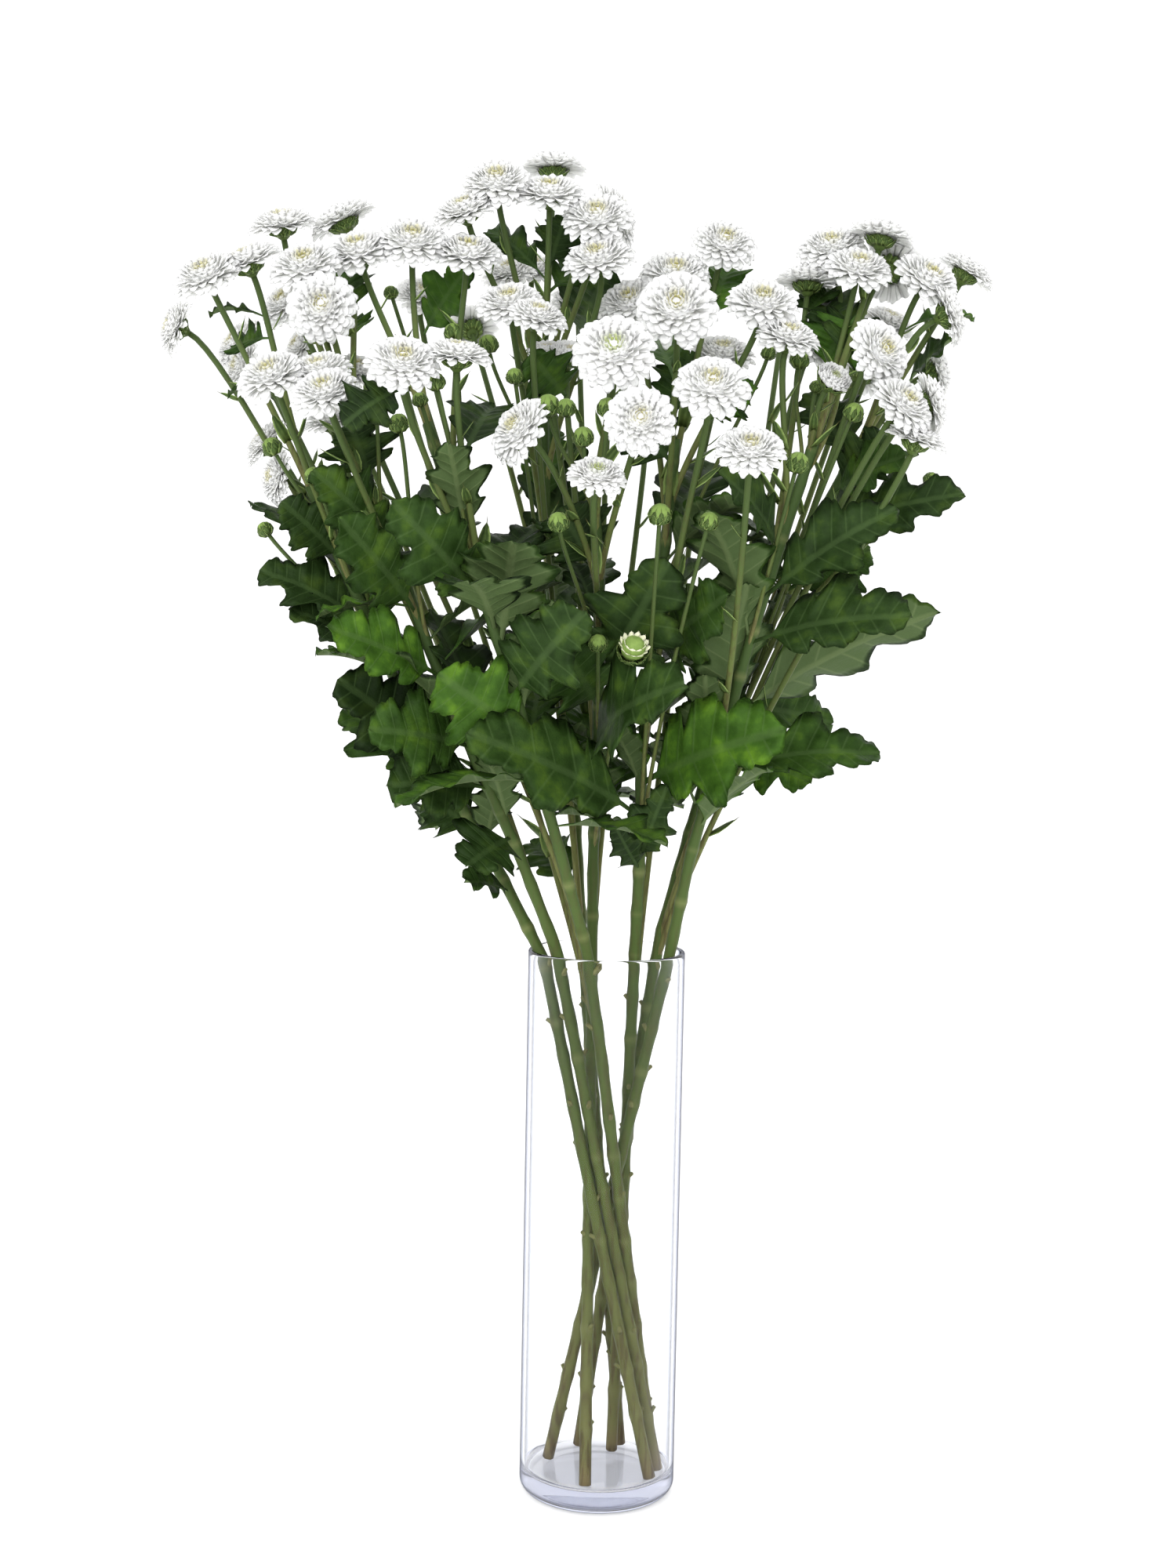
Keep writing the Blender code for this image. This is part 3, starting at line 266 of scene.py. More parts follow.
PETAL_ROW_TURN = 0.31
PETAL_SEED = 7
WIDE_PETAL_ROWS = 4
# Width along a petal: shares of its length and of its width
PETAL_WIDTHS = ((0.0, 0.35, 0.66, 0.88, 1.0), (0.32, 0.66, 0.95, 1.0, 0.70))
# How far petals that point down hang below the others
PETAL_SAG = 0.16
# The solid middle under the petals: radius and height
RECEPTACLE = ((0.0, 0.03), (0.30, 0.08), (0.46, 0.14), (0.46, 0.24), (0.30, 0.38), (0.0, 0.42))
HALF_OPEN = ("d5", "d6", "f8")
GREEN_EYES = ("d2", "d4", "f8")

# A bract's width along it, as the petals' widths are given
BRACT_WIDTHS = ((0.0, 0.45, 0.80, 1.0), (0.70, 1.0, 0.55, 0.06))
BRACT_THICKNESS = 0.05

# Sides of the round middles of blooms and buds, of the cups under blooms, and of the vase
BALL_SIDES = 14
CUP_SIDES = 16
GLASS_SIDES = 96

# A bud: its ball as radius and height, its rings of bracts as heights of foot and tip, radius of bend
# and tip, width and count, all as shares of its radius, and the petals of a bud that is opening
BUD_BALL = ((0.0, 0.0), (0.40, 0.10), (0.72, 0.45), (0.86, 0.95), (0.72, 1.40), (0.38, 1.66), (0.0, 1.74))
BUD_BRACTS = (
    (0.04, 1.00, 1.20, 0.92, 0.80, 7), (0.16, 1.42, 1.30, 0.74, 0.80, 8), (0.30, 1.74, 1.38, 0.36, 0.70, 8),
)
OPENING_PETALS = ((0.9, 1.55, 1.05, 1.04, 0.50, 13), (1.0, 1.86, 0.70, 0.74, 0.50, 10))
# Buds at least this wide are opening
OPENING_BUD = 0.016

# The tone mark tells the material of the green parts which part it is on
CREAM_TONE = 0.03
BUD_TONE = 0.12
CUP_TONE = 0.5
CUP_BRACT_TONE = 0.55
SMALL_BRACT_TONE = 0.6
BUD_BRACT_TONE = 0.75
SMALL_BRACT_SHARES = (0.22, 0.42, 0.66)

# Joints of the main stems, and the stubs of leaves at them
STEM_FINE_RINGS = 96
STEM_RIBS = 6
JOINT_SPACING = 0.029
JOINT_SWELL = 0.22
STUB_LENGTH = 0.0036
STEM_SEED = 100

# A leaf's width along its rib, with lobes that lean forwards, and where its side veins leave the rib
LOBE_SHARES = (
    0.0, 0.165, 0.19, 0.225, 0.27, 0.32, 0.37, 0.395, 0.42, 0.46,
    0.53, 0.58, 0.63, 0.665, 0.70, 0.76, 0.84, 0.92, 1.0,
)
LOBE_WIDTHS = (
    0.05, 0.06, 0.28, 0.66, 0.80, 0.72, 0.50, 0.52, 0.82, 0.99,
    1.00, 0.84, 0.56, 0.48, 0.56, 0.60, 0.50, 0.32, 0.02,
)
LOBE_LEAN = 0.15
VEINS = (0.235, 0.325, 0.44, 0.56, 0.665, 0.77, 0.87)
LEAF_ROWS = 46
LEAF_COLUMNS = 7
LEAF_BLADE_THICKNESS = 0.0005
LEAF_QUILT = 0.0011
LEAF_WAVE = 0.0026

# How the solid model's choices are read from its corners: corners of a leaf as shares of its length
# and half width, how near a corner has to be, and the least share of corners that have to be there
LEAF_CORNERS = ((0.34, 0.78), (0.45, 0.40), (0.57, 1.00), (0.70, 0.80), (0.76, 0.42), (0.89, 0.38))
SAME_POINT = 0.00012
LEAST_MATCH = 0.34

# Lights: place, size, strength
SOFT_LIGHTS = (
    ((-1.6, -1.8, 2.4), 1.2, 14),
    ((-0.3, -2.4, 1.1), 2.0, 26),
    ((1.8, -1.2, 1.9), 1.6, 4),
    ((0.4, 2.2, 2.2), 1.8, 14),
)
LIGHTS_AIM = Vector((0, 0, 0.45))
FLOOR_RADIUS = 30.0
WORLD_STRENGTH = 1.18


def sight(across_px, down_px, depth):
    """The point that a pixel of the front view shows at this depth behind the vase's axis."""
    right = across_px - FRAME_WIDTH_PX / 2
    down = down_px - FRAME_HEIGHT_PX / 2
    level_right = right * math.cos(EYE_ROLL) + down * math.sin(EYE_ROLL)
    level_down = down * math.cos(EYE_ROLL) - right * math.sin(EYE_ROLL)
    ray = Vector((level_right, 0, 0)) - EYE_UP * level_down + EYE_FORWARD * FOCAL_PX
    return EYE + ray * ((depth - EYE.y) / ray.y)


def tube(path, radius, sides):
    """Rings along a path, each turned as little as possible from the one before."""
    across = None
    rings = []
    for k, centre in enumerate(path):
        way = (path[min(k + 1, len(path) - 1)] - path[max(k - 1, 0)]).normalized()
        hint = across or (Vector((1, 0, 0)) if abs(way.x) < 0.8 else Vector((0, 1, 0)))
        across = (hint - way * hint.dot(way)).normalized()
        along = way.cross(across)
        turns = [math.tau * side / sides for side in range(sides)]
        rings.append([centre + (across * math.cos(turn) + along * math.sin(turn)) * radius for turn in turns])
    return rings


def smooth_path(points, count):
    """This many points, evenly spaced along a smooth curve through the given ones."""
    ends = [points[0] * 2 - points[1]] + list(points) + [points[-1] * 2 - points[-2]]
    fine = []
    for k in range(1, len(ends) - 2):
        before, here, there, after = ends[k - 1 : k + 3]
        for step in range(24):
            t = step / 24
            spot = here * 2 + (there - before) * t
            spot += (before * 2 - here * 5 + there * 4 - after) * t**2
            spot += (here * 3 - before - there * 3 + after) * t**3
            fine.append(0.5 * spot)
    fine.append(points[-1].copy())
    lengths = [0.0]
    for k in range(1, len(fine)):
        lengths.append(lengths[-1] + (fine[k] - fine[k - 1]).length)
    spots = np.linspace(0, lengths[-1], count)
    columns = [np.interp(spots, lengths, [p[axis] for p in fine]) for axis in range(3)]
    return [Vector(row) for row in zip(*columns)]


def facing(turn, tilt):
    """The unit direction that a bloom faces."""
    level = math.cos(math.radians(tilt))
    side = math.radians(turn)
    return Vector((math.sin(side) * level, -math.cos(side) * level, math.sin(math.radians(tilt))))


def square_to(way):
    """Two directions that are square to this one and to each other."""
    hint = Vector((0, 0, 1)) if abs(way.z) < 0.9 else Vector((0, 1, 0))
    across = hint.cross(way).normalized()
    return across, way.cross(across)


def bloom_seat(head):
    """The lowest point of a bloom, in the middle of its underside."""
    middle = sight(head.x, head.y, head.depth)
    return middle - facing(head.turn, head.tilt) * (head.width / 2 * BLOOM_CENTRE_SHARE)


def fine_line(corners, steps):
    """Points evenly spaced on the straight runs between these corners."""
    points = []
    for start, end in zip(corners, corners[1:]):
        points += [start.lerp(end, k / steps) for k in range(steps)]
    return points + [corners[-1].copy()]


def stem_path(stem):
    """Where a main stem runs: straight from the vase's floor to its rim, then through the seen points."""
    low = Vector((stem.floor[0], stem.floor[1], VASE_FLOOR + SEAT_GAP))
    rim = Vector((stem.rim[0], stem.rim[1], VASE_HEIGHT))
    points = [low, low.lerp(rim, 0.35), low.lerp(rim, 0.7), rim]
    points += [sight(*seen) for seen in stem.seen]
    return fine_line(smooth_path(points, STEM_RINGS), STEM_STEPS)


def stem_radius(height):
    """A stem narrows from the floor to the rim and on to the crown."""
    heights = (VASE_FLOOR, VASE_HEIGHT, CROWN_HEIGHT)
    radii = (STEM_RADIUS_FLOOR, STEM_RADIUS_RIM, STEM_RADIUS_CROWN)
    return float(np.interp(height, heights, radii))


def bezier(ends, share):
    """A point on a cubic curve from its four control points."""
    a, b, c, d = ends
    rest = 1 - share
    return a * rest**3 + b * (3 * rest**2 * share) + c * (3 * rest * share**2) + d * share**3


def stalk_curve(path, neck, way, shift, side, bulge):
    """Control points of a stalk that leaves the stem upwards and meets its bloom or bud from below.

    It leaves where the way to the neck is within the spread of the stem's own direction.
    """
    first = LOWEST_BRANCH
    best = None
    for k in range(len(path) - 2, first, -1):
        reach = neck - path[k]
        angle = reach.angle((path[k + 1] - path[k - 1]).normalized())
        if reach.length < STALK_SHORTEST:
            continue
        if best is None or angle < best[0]:
            best = (angle, k)
        if angle < STALK_SPREAD:
            break
    k = min(max(best[1] + shift, first), len(path) - 2)
    base = path[k]
    reach = neck - base
    along = (path[k + 1] - path[k - 1]).normalized()
    across, up = square_to(reach.normalized())
    push = (across * math.cos(side) + up * math.sin(side)) * bulge
    leave = (along + reach.normalized()).normalized()
    bend = min(0.30 * reach.length, STALK_BEND)
    return base, base + leave * (0.35 * reach.length) + push, neck - way * bend + push * 0.5, neck


def stalk_options():
    """Ways to lead a stalk, the plainest first: steps along the stem, and a bulge to any side."""
    for bulge, shift in product((0.0, 0.005, 0.010, 0.016, 0.024), (0, -2, 2, -4, 4, -7, 7, -10)):
        for k in range(1 if bulge == 0 else 8):
            yield shift, math.tau * k / 8, bulge


def stalk(ends, radius, shares):
    """The rings of a bare stalk up to just below its neck."""
    spots = [bezier(ends, share) for share in shares]
    return tube(spots + [ends[3]], radius, STALK_SIDES)[:-1]


def leaf_face(roll):
    """The side a leaf shows: roll 0 faces up, 90 the front, 180 down and -90 the back."""
    return Vector((0, -math.sin(math.radians(roll)), math.cos(math.radians(roll))))


def leaf_options(runs, leaf):
    """Ways to hold a seen leaf, the seen one first: its tip nearer or farther, its roll, and its base.

    The base is on the stem or stalk that passes nearest to where the leaf is seen to grow.
    """
    near = []
    for run in runs:
        gaps = [(point - sight(*leaf.base, point.y)).length for point in run]
        near.append((min(gaps), gaps.index(min(gaps)), run))
    near.sort(key=lambda found: found[0])
    for (_, k, run), shift in product(near[:3], (0, 1, -1, 2, -2)):
        base = run[min(max(k + shift, 1), len(run) - 2)]
        for nearer, roll in product((0.0, -0.012, 0.012, -0.024, 0.024, -0.038, 0.038), (0, 25, -25)):
            tip = sight(*leaf.tip, leaf.depth + nearer)
            yield base, tip, leaf_face(leaf.roll + roll), leaf.width * LEAF_SPREAD


def ruled_leaf_options(path, share, side, number):
    """Ways to hold a ruled leaf: round the stem by the golden angle, then to either side of that."""
    first = LOWEST_BRANCH
    k = int(first + share * (len(path) - 3 - first))
    base = path[k]
    turns = (0, 25, -25, 50, -50, 75, -75, 100, -100)
    for turn, climb, size in product(turns, (35, 55, 15, 70, -5), (1.0, 0.8, 0.62)):
        angle = side * (number * GOLDEN_ANGLE / 2 % math.pi) + math.radians(turn)
        lift = math.radians(climb)
        level = math.cos(lift)
        way = Vector((math.cos(angle) * level, math.sin(angle) * level, math.sin(lift)))
        face = Vector((-way.x * 0.4, -way.y * 0.4, 1))
        yield base, base + way * (RULED_LEAF_LENGTH * size), face, RULED_LEAF_WIDTH * size


def rows_of(vectors):
    return np.array([tuple(v) for v in vectors])


def unit(values):
    return values / np.maximum(np.linalg.norm(values, axis=-1, keepdims=True), 1e-9)


class Gathered:
    """Triangles gathered for one object, with four numbers kept at each point for its material."""

    def __init__(self):
        self.points = []
        self.faces = []
        self.marks = []
        self.count = 0

    def add(self, points, faces, marks):
        self.points.append(points)
        self.faces.append(faces + self.count)
        self.marks.append(np.broadcast_to(marks, (len(points), 4)))
        self.count += len(points)

    def made(self, name, look):
        points = np.concatenate(self.points).astype(np.float32)
        faces = np.concatenate(self.faces).astype(np.int32)
        marks = np.concatenate(self.marks).astype(np.float32)
        mesh = bpy.data.meshes.new(name)
        mesh.vertices.add(len(points))
        mesh.vertices.foreach_set("co", points.ravel())
        mesh.loops.add(faces.size)
        mesh.loops.foreach_set("vertex_index", faces.ravel())
        mesh.polygons.add(len(faces))
        mesh.polygons.foreach_set("loop_start", np.arange(0, faces.size, 3, dtype=np.int32))
        mesh.update()
        marked = mesh.attributes.new("marks", "FLOAT_COLOR", "POINT")
        marked.data.foreach_set("color", marks.ravel())
        mesh.shade_smooth()
        mesh.materials.append(look)
        made = bpy.data.objects.new(name, mesh)
        bpy.context.scene.collection.objects.link(made)
        return made


def blade_faces(rows, columns):
    """Triangles of a closed blade: a top grid, and an underside that shares the grid's border."""
    top = np.arange(rows * columns).reshape(rows, columns)
    low = top.copy()
    inside = (rows - 2) * (columns - 2)
    low[1:-1, 1:-1] = rows * columns + np.arange(inside).reshape(rows - 2, columns - 2)
    faces = []
    for grid, over in ((top, True), (low, False)):
        for i in range(rows - 1):
            for j in range(columns - 1):
                a, b = grid[i, j], grid[i, j + 1]
                c, d = grid[i + 1, j + 1], grid[i + 1, j]
                if (i < (rows - 1) / 2) == (j < (columns - 1) / 2):
                    pair = ((a, d, c), (a, c, b))
                else:
                    pair = ((a, d, b), (b, d, c))
                faces += pair if over else tuple(face[::-1] for face in pair)
    return np.array(faces)


def blades(rows, columns, turns, base, bend, tip, width, cup, twist, thick, widths):
    """Curved blades round an axis, in the axis's own frame: (blade, point, xyz) and (blade, point, uv)."""
    count = len(turns)
    u = np.interp(np.linspace(0, 1, rows), np.linspace(0, 1, len(widths[0])), widths[0])[None, :, None]
    v = np.linspace(-1, 1, columns)[None, None, :]
    share = u - 0.16 * v**2 * u**4
    rest = 1 - share
    spine = []
    slope = []
    for axis in range(2):
        a, b, c = (part[:, axis, None, None] for part in (base, bend, tip))
        spine.append(a * rest**2 + 2 * b * rest * share + c * share**2)
        slope.append((b - a) * rest + (c - b) * share)
    length = np.sqrt(slope[0] ** 2 + slope[1] ** 2) + 1e-9
    out_r, out_z = -slope[1] / length, slope[0] / length
    half = width[:, None, None] / 2 * np.interp(u, *widths)
    side = v * half
    lift = cup[:, None, None] * half * v**2 * u + twist[:, None, None] * side
    body = thick[:, None, None] / 2 * (1 - v**2) * np.sin(np.pi * u) ** 0.5

    def placed(height):
        r = spine[0] + out_r * height
        z = spine[1] + out_z * height
        c, s = np.cos(turns)[:, None, None], np.sin(turns)[:, None, None]
        return np.stack([r * c - side * s, r * s + side * c, z + 0 * r], axis=-1)

    top = placed(lift + body).reshape(count, -1, 3)
    low = placed(lift - body)[:, 1:-1, 1:-1].reshape(count, -1, 3)
    uv = np.stack(np.broadcast_arrays(u + 0 * v, np.abs(v) + 0 * u), axis=-1)
    uv_top = uv.reshape(1, -1, 2)
    uv_low = uv[:, 1:-1, 1:-1].reshape(1, -1, 2)
    uv = np.repeat(np.concatenate([uv_top, uv_low], axis=1), count, axis=0)
    return np.concatenate([top, low], axis=1), uv


def add_blades(gathered, place, made, faces, tone, random):
    """Blades put at a place, which is a centre, axes and a size. Marks: along, tone, random, across."""
    centre, axes, size = place
    points, uv = made
    count, each = points.shape[:2]
    offsets = (np.arange(count) * each)[:, None, None]
    marks = np.empty((count, each, 4))
    marks[..., 0] = uv[..., 0]
    marks[..., 1] = tone
    marks[..., 2] = random[:, None]
    marks[..., 3] = uv[..., 1]
    world = centre + (points.reshape(-1, 3) @ axes) * size
    gathered.add(world, (faces[None] + offsets).reshape(-1, 3), marks.reshape(-1, 4))


def turned_faces(rings, sides):
    """Triangles of a turned body with a point at each end: the first point, the rings, the last point."""
    faces = []
    for k in range(sides):
        faces.append((0, 1 + (k + 1) % sides, 1 + k))
        last = 1 + (rings - 1) * sides
        faces.append((last + k, last + (k + 1) % sides, 1 + rings * sides))
        for r in range(rings - 1):
            a, b = 1 + r * sides + k, 1 + r * sides + (k + 1) % sides
            c, d = b + sides, a + sides
            faces += [(a, b, c), (a, c, d)]
    return np.array(faces)


def add_turned(gathered, place, profile, sides, marks, ribs=0, rib_depth=0.0):
    """A body turned round the third axis, from a profile of (radius, height) that starts and ends on it."""
    centre, axes, size = place
    turn = np.arange(sides) * (math.tau / sides)
    radius, height = np.array(profile[1:-1]).T[..., None]
    radius = radius * (1 + rib_depth * np.cos(ribs * turn))[None, :]
    rings = np.stack([radius * np.cos(turn), radius * np.sin(turn), height + 0 * radius], axis=-1)
    points = np.concatenate([[[0, 0, profile[0][1]]], rings.reshape(-1, 3), [[0, 0, profile[-1][1]]]])
    gathered.add(centre + (points @ axes) * size, turned_faces(len(profile) - 2, sides), marks)


def add_tube(gathered, path, radii, sides, marks, ribs=0, rib_depth=0.0):
    """A closed tube along a path, with a point at each end. The marks are one row for each ring."""
    ways = unit(np.gradient(path, axis=0))
    hint = np.array([1.0, 0, 0]) if abs(ways[0][0]) < 0.8 else np.array([0, 1.0, 0])
    frames = []
    for way in ways:
        hint = hint - way * hint.dot(way)
        hint = hint / np.linalg.norm(hint)
        frames.append((hint, np.cross(way, hint)))
    turn = np.arange(sides) * (math.tau / sides)
    swell = 1 + rib_depth * np.cos(ribs * turn)
    rings = [
        spot + radius * swell[:, None] * (np.cos(turn)[:, None] * a + np.sin(turn)[:, None] * b)
        for spot, radius, (a, b) in zip(path, radii, frames)
    ]
    points = np.concatenate([[path[0]], *rings, [path[-1]]])
    marks = np.broadcast_to(marks, (len(path), 4))
    spread = np.concatenate([marks[:1], np.repeat(marks, sides, axis=0), marks[-1:]])
    gathered.add(points, turned_faces(len(path), sides), spread)


def axes_of(way, across=None):
    """The frame whose third axis is this direction, as rows."""
    if across is None:
        across, along = square_to(way)
    else:
        across = (across - way * across.dot(way)).normalized()
        along = way.cross(across)
    return rows_of((across, along, way))


WIDE_FACES = blade_faces(5, 5)
NARROW_FACES = blade_faces(5, 3)
BRACT_FACES = blade_faces(4, 3)
LEAF_FACES = blade_faces(LEAF_ROWS, LEAF_COLUMNS)


def spread_turns(rng, count, start, loose):
    return start + (np.arange(count) + rng.normal(0, loose, count)) * (math.tau / count)


def add_bloom(gathered, head, number):
    """A bloom: its rows of petals over a solid middle."""
    rng = np.random.default_rng(number + PETAL_SEED)
    axes = axes_of(facing(head.turn, head.tilt))
    place = (np.array(bloom_seat(head)), axes, head.width / 2)
    add_turned(gathered, place, RECEPTACLE, BALL_SIDES, (0.9, 0.4, 0.5, 0.0))
    for row, (count, tip, bend, base, width, cup) in enumerate(PETAL_ROWS):
        turns = spread_turns(rng, count, row * PETAL_ROW_TURN + number, 0.13)
        tips = np.tile(tip, (count, 1)) + rng.normal(0, 1, (count, 2)) * PETAL_TIP_JITTER
        bends = np.tile(bend, (count, 1)) + rng.normal(0, PETAL_BEND_JITTER, (count, 2))
        hang = -(axes[0, 2] * np.cos(turns) + axes[1, 2] * np.sin(turns)) * tip[0] ** 2
        tips[:, 1] -= PETAL_SAG * np.clip(hang, -0.25, 1)
        bends[:, 1] -= PETAL_SAG * 0.35 * np.clip(hang, -0.25, 1)
        if head.name in HALF_OPEN:
            tips = tips * (0.74, 0.55) + (0.0, 0.20 + 0.20 * tip[0])
            bends = bends * (0.98, 0.9)
        tips[:, 0] = np.minimum(tips[:, 0], 1.04)
        wide = row < WIDE_PETAL_ROWS
        made = blades(
            5, 5 if wide else 3, turns, np.tile(base, (count, 1)), bends, tips,
            width * rng.normal(1, 0.07, count), cup * rng.normal(1, 0.25, count),
            rng.normal(0, 0.16, count), np.full(count, PETAL_THICKNESS), PETAL_WIDTHS,
        )
        random = rng.random(count) + (2 if head.name in GREEN_EYES else 0)
        tone = row / (len(PETAL_ROWS) - 1)
        add_blades(gathered, place, made, WIDE_FACES if wide else NARROW_FACES, tone, random)


def add_bracts(gathered, rng, place, count, base, bend, tip, width, tone):
    """A ring of pointed bracts."""
    made = blades(
        4, 3, spread_turns(rng, count, rng.random() * 6, 0.08),
        np.tile(base, (count, 1)), np.tile(bend, (count, 1)),
        np.tile(tip, (count, 1)) + rng.normal(0, 0.03, (count, 2)),
        width * rng.normal(1, 0.08, count), np.full(count, 0.3),
        rng.normal(0, 0.08, count), np.full(count, BRACT_THICKNESS), BRACT_WIDTHS,
    )
    add_blades(gathered, place, made, BRACT_FACES, tone, rng.random(count))


def add_cup(gathered, head, rng):
    """The green cup under a bloom: two rings of bracts, and two taller ones round a half open bloom."""
    radius = head.width / 2
    place = (np.array(bloom_seat(head)), axes_of(facing(head.turn, head.tilt)), radius)
    rim = CUP_RADIUS_SHARE
    neck = CUP_DEPTH / radius
    profile = (
        (0.0, -neck - 0.02), (STALK_RADIUS * 1.15 / radius, -neck), (rim * 0.45, -neck * 0.75),
        (rim * 0.80, -neck * 0.30), (rim * 0.98, 0.04), (rim * 0.90, 0.10), (0.0, 0.04),
    )
    add_turned(gathered, place, profile, CUP_SIDES, (0.3, CUP_TONE, rng.random(), 0.4))
    if head.name in HALF_OPEN:
        for bend_out, tip_out, high in ((0.72, 0.74, 0.22), (0.80, 0.84, 0.42)):
            base, bend = (rim * 0.5, -neck * 0.6), (bend_out, -neck * 0.2)
            add_bracts(gathered, rng, place, 13, base, bend, (tip_out, high), 0.30, BUD_BRACT_TONE)
    for start, drop, out, high, count in ((0.55, 0.65, 1.10, 0.02, 11), (0.75, 0.35, 1.22, 0.12, 12)):
        low = -neck * drop
        base, bend, tip = (rim * start, low), (rim * 1.05, low * 0.55), (rim * out, high)
        add_bracts(gathered, rng, place, count, base, bend, tip, rim * 0.52, CUP_BRACT_TONE)


def add_bud(gathered, bud, ends, rng):
    """A round bud: a ball of pale petals wrapped in rings of striped green bracts, or one that opens."""
    opening = bud.width >= OPENING_BUD
    place = (np.array(ends[3]), axes_of((ends[3] - ends[2]).normalized()), bud.width / 2)
    add_turned(gathered, place, BUD_BALL, BALL_SIDES, (0.5, BUD_TONE, rng.random(), 0.5), 7, 0.03)
    drop = 0.62 if opening else 1.0
    for low, high, out, tip_out, width, count in BUD_BRACTS:
        base, bend = (0.40 + 0.4 * low, low), (out, (0.55 * low + 0.42 * high) * drop)
        tip = (0.98 if opening else tip_out, high * drop)
        add_bracts(gathered, rng, place, count, base, bend, tip, width, BUD_BRACT_TONE)
    if opening:
        for low, high, out, tip_out, width, count in OPENING_PETALS:
            bend = (out, 0.5 * (low + high))
            add_bracts(gathered, rng, place, count, (0.45, low), bend, (tip_out, high), width, CREAM_TONE)


def add_stalk(gathered, ends, radius, rng):
    """A thin ribbed stalk along its curve."""
    shares = np.linspace(0, 1, 15)
    path = rows_of([bezier(ends, share) for share in shares])
    radii = radius * (1 + 0.25 * np.clip(0.12 - shares, 0, 1) / 0.12)
    random = rng.random()
    marks = np.stack([shares, 0 * shares + 0.3, 0 * shares + random, 0 * shares + 0.5], axis=1)
    add_tube(gathered, path, radii, 8, marks, 4, 0.06)


def add_small_bract(gathered, spot, way, rng, size):
    """A narrow small leaf on a stalk."""
    turn = rng.random() * math.tau
    tip = (0.60 + 0.3 * rng.random(), 0.85)
    numbers = [np.array([number]) for number in (turn, (0.05, 0.0), (0.35, 0.25), tip, 0.34, 0.3, 0.1)]
    made = blades(5, 3, *numbers, np.array([BRACT_THICKNESS]), BRACT_WIDTHS)
    place = (np.array(spot), axes_of(way), size)
    add_blades(gathered, place, made, NARROW_FACES, SMALL_BRACT_TONE, np.array([0.5]))


def add_main_stem(gathered, path, rng):
    """A ribbed stem with swollen joints, and the stubs of leaves that were cut off."""
    fine = rows_of(path)
    picks = np.linspace(0, len(fine) - 1, STEM_FINE_RINGS)
    spots = np.stack([np.interp(picks, np.arange(len(fine)), fine[:, k]) for k in range(3)], axis=1)
    lengths = np.concatenate([[0], np.cumsum(np.linalg.norm(np.diff(spots, axis=0), axis=1))])
    radii = np.array([stem_radius(z) for z in spots[:, 2]])
    joints = np.arange(0.030 + 0.012 * rng.random(), lengths[-1], JOINT_SPACING)
    joints = joints + rng.normal(0, 0.003, len(joints))
    gap = np.abs(lengths[:, None] - joints[None, :]).min(axis=1)
    radii = radii * (1 + JOINT_SWELL * np.exp(-((gap / 0.004) ** 2)))
    share = lengths / lengths[-1]
    marks = np.stack([share, 0 * share, 0 * share + rng.random(), np.exp(-((gap / 0.003) ** 2))], axis=1)
    spots[0] = spots[0] + (0, 0, 0.0002)
    add_tube(gathered, spots, radii, 12, marks, STEM_RIBS, 0.045)
    for number, joint in enumerate(joints):
        spot = np.array([np.interp(joint, lengths, spots[:, k]) for k in range(3)])
        if spot[2] > VASE_HEIGHT * 0.98:
            break
        k = min(int(np.searchsorted(lengths, joint)), STEM_FINE_RINGS - 2)
        way = Vector(spots[k + 1] - spots[k]).normalized()
        across, along = square_to(way)
        turn = number * GOLDEN_ANGLE + rng.random()
        side = across * math.cos(turn) + along * math.sin(turn)
        radius = stem_radius(spot[2])
        lead = (side + way * 0.9).normalized()
        start = Vector(spot) + side * (radius * 0.5)
        length = STUB_LENGTH + STUB_LENGTH * rng.random()
        stub = rows_of([start + lead * (length * t) for t in (0.0, 0.55, 1.0)])
        add_tube(gathered, stub, np.array([0.0021, 0.0015, 0.0012]), 7, (0.05, 0.2, rng.random(), 0.9))


def leaf_axes(base, tip, face):
    way = (tip - base).normalized()
    up = (face - way * face.dot(way)).normalized()
    return way, way.cross(up), up


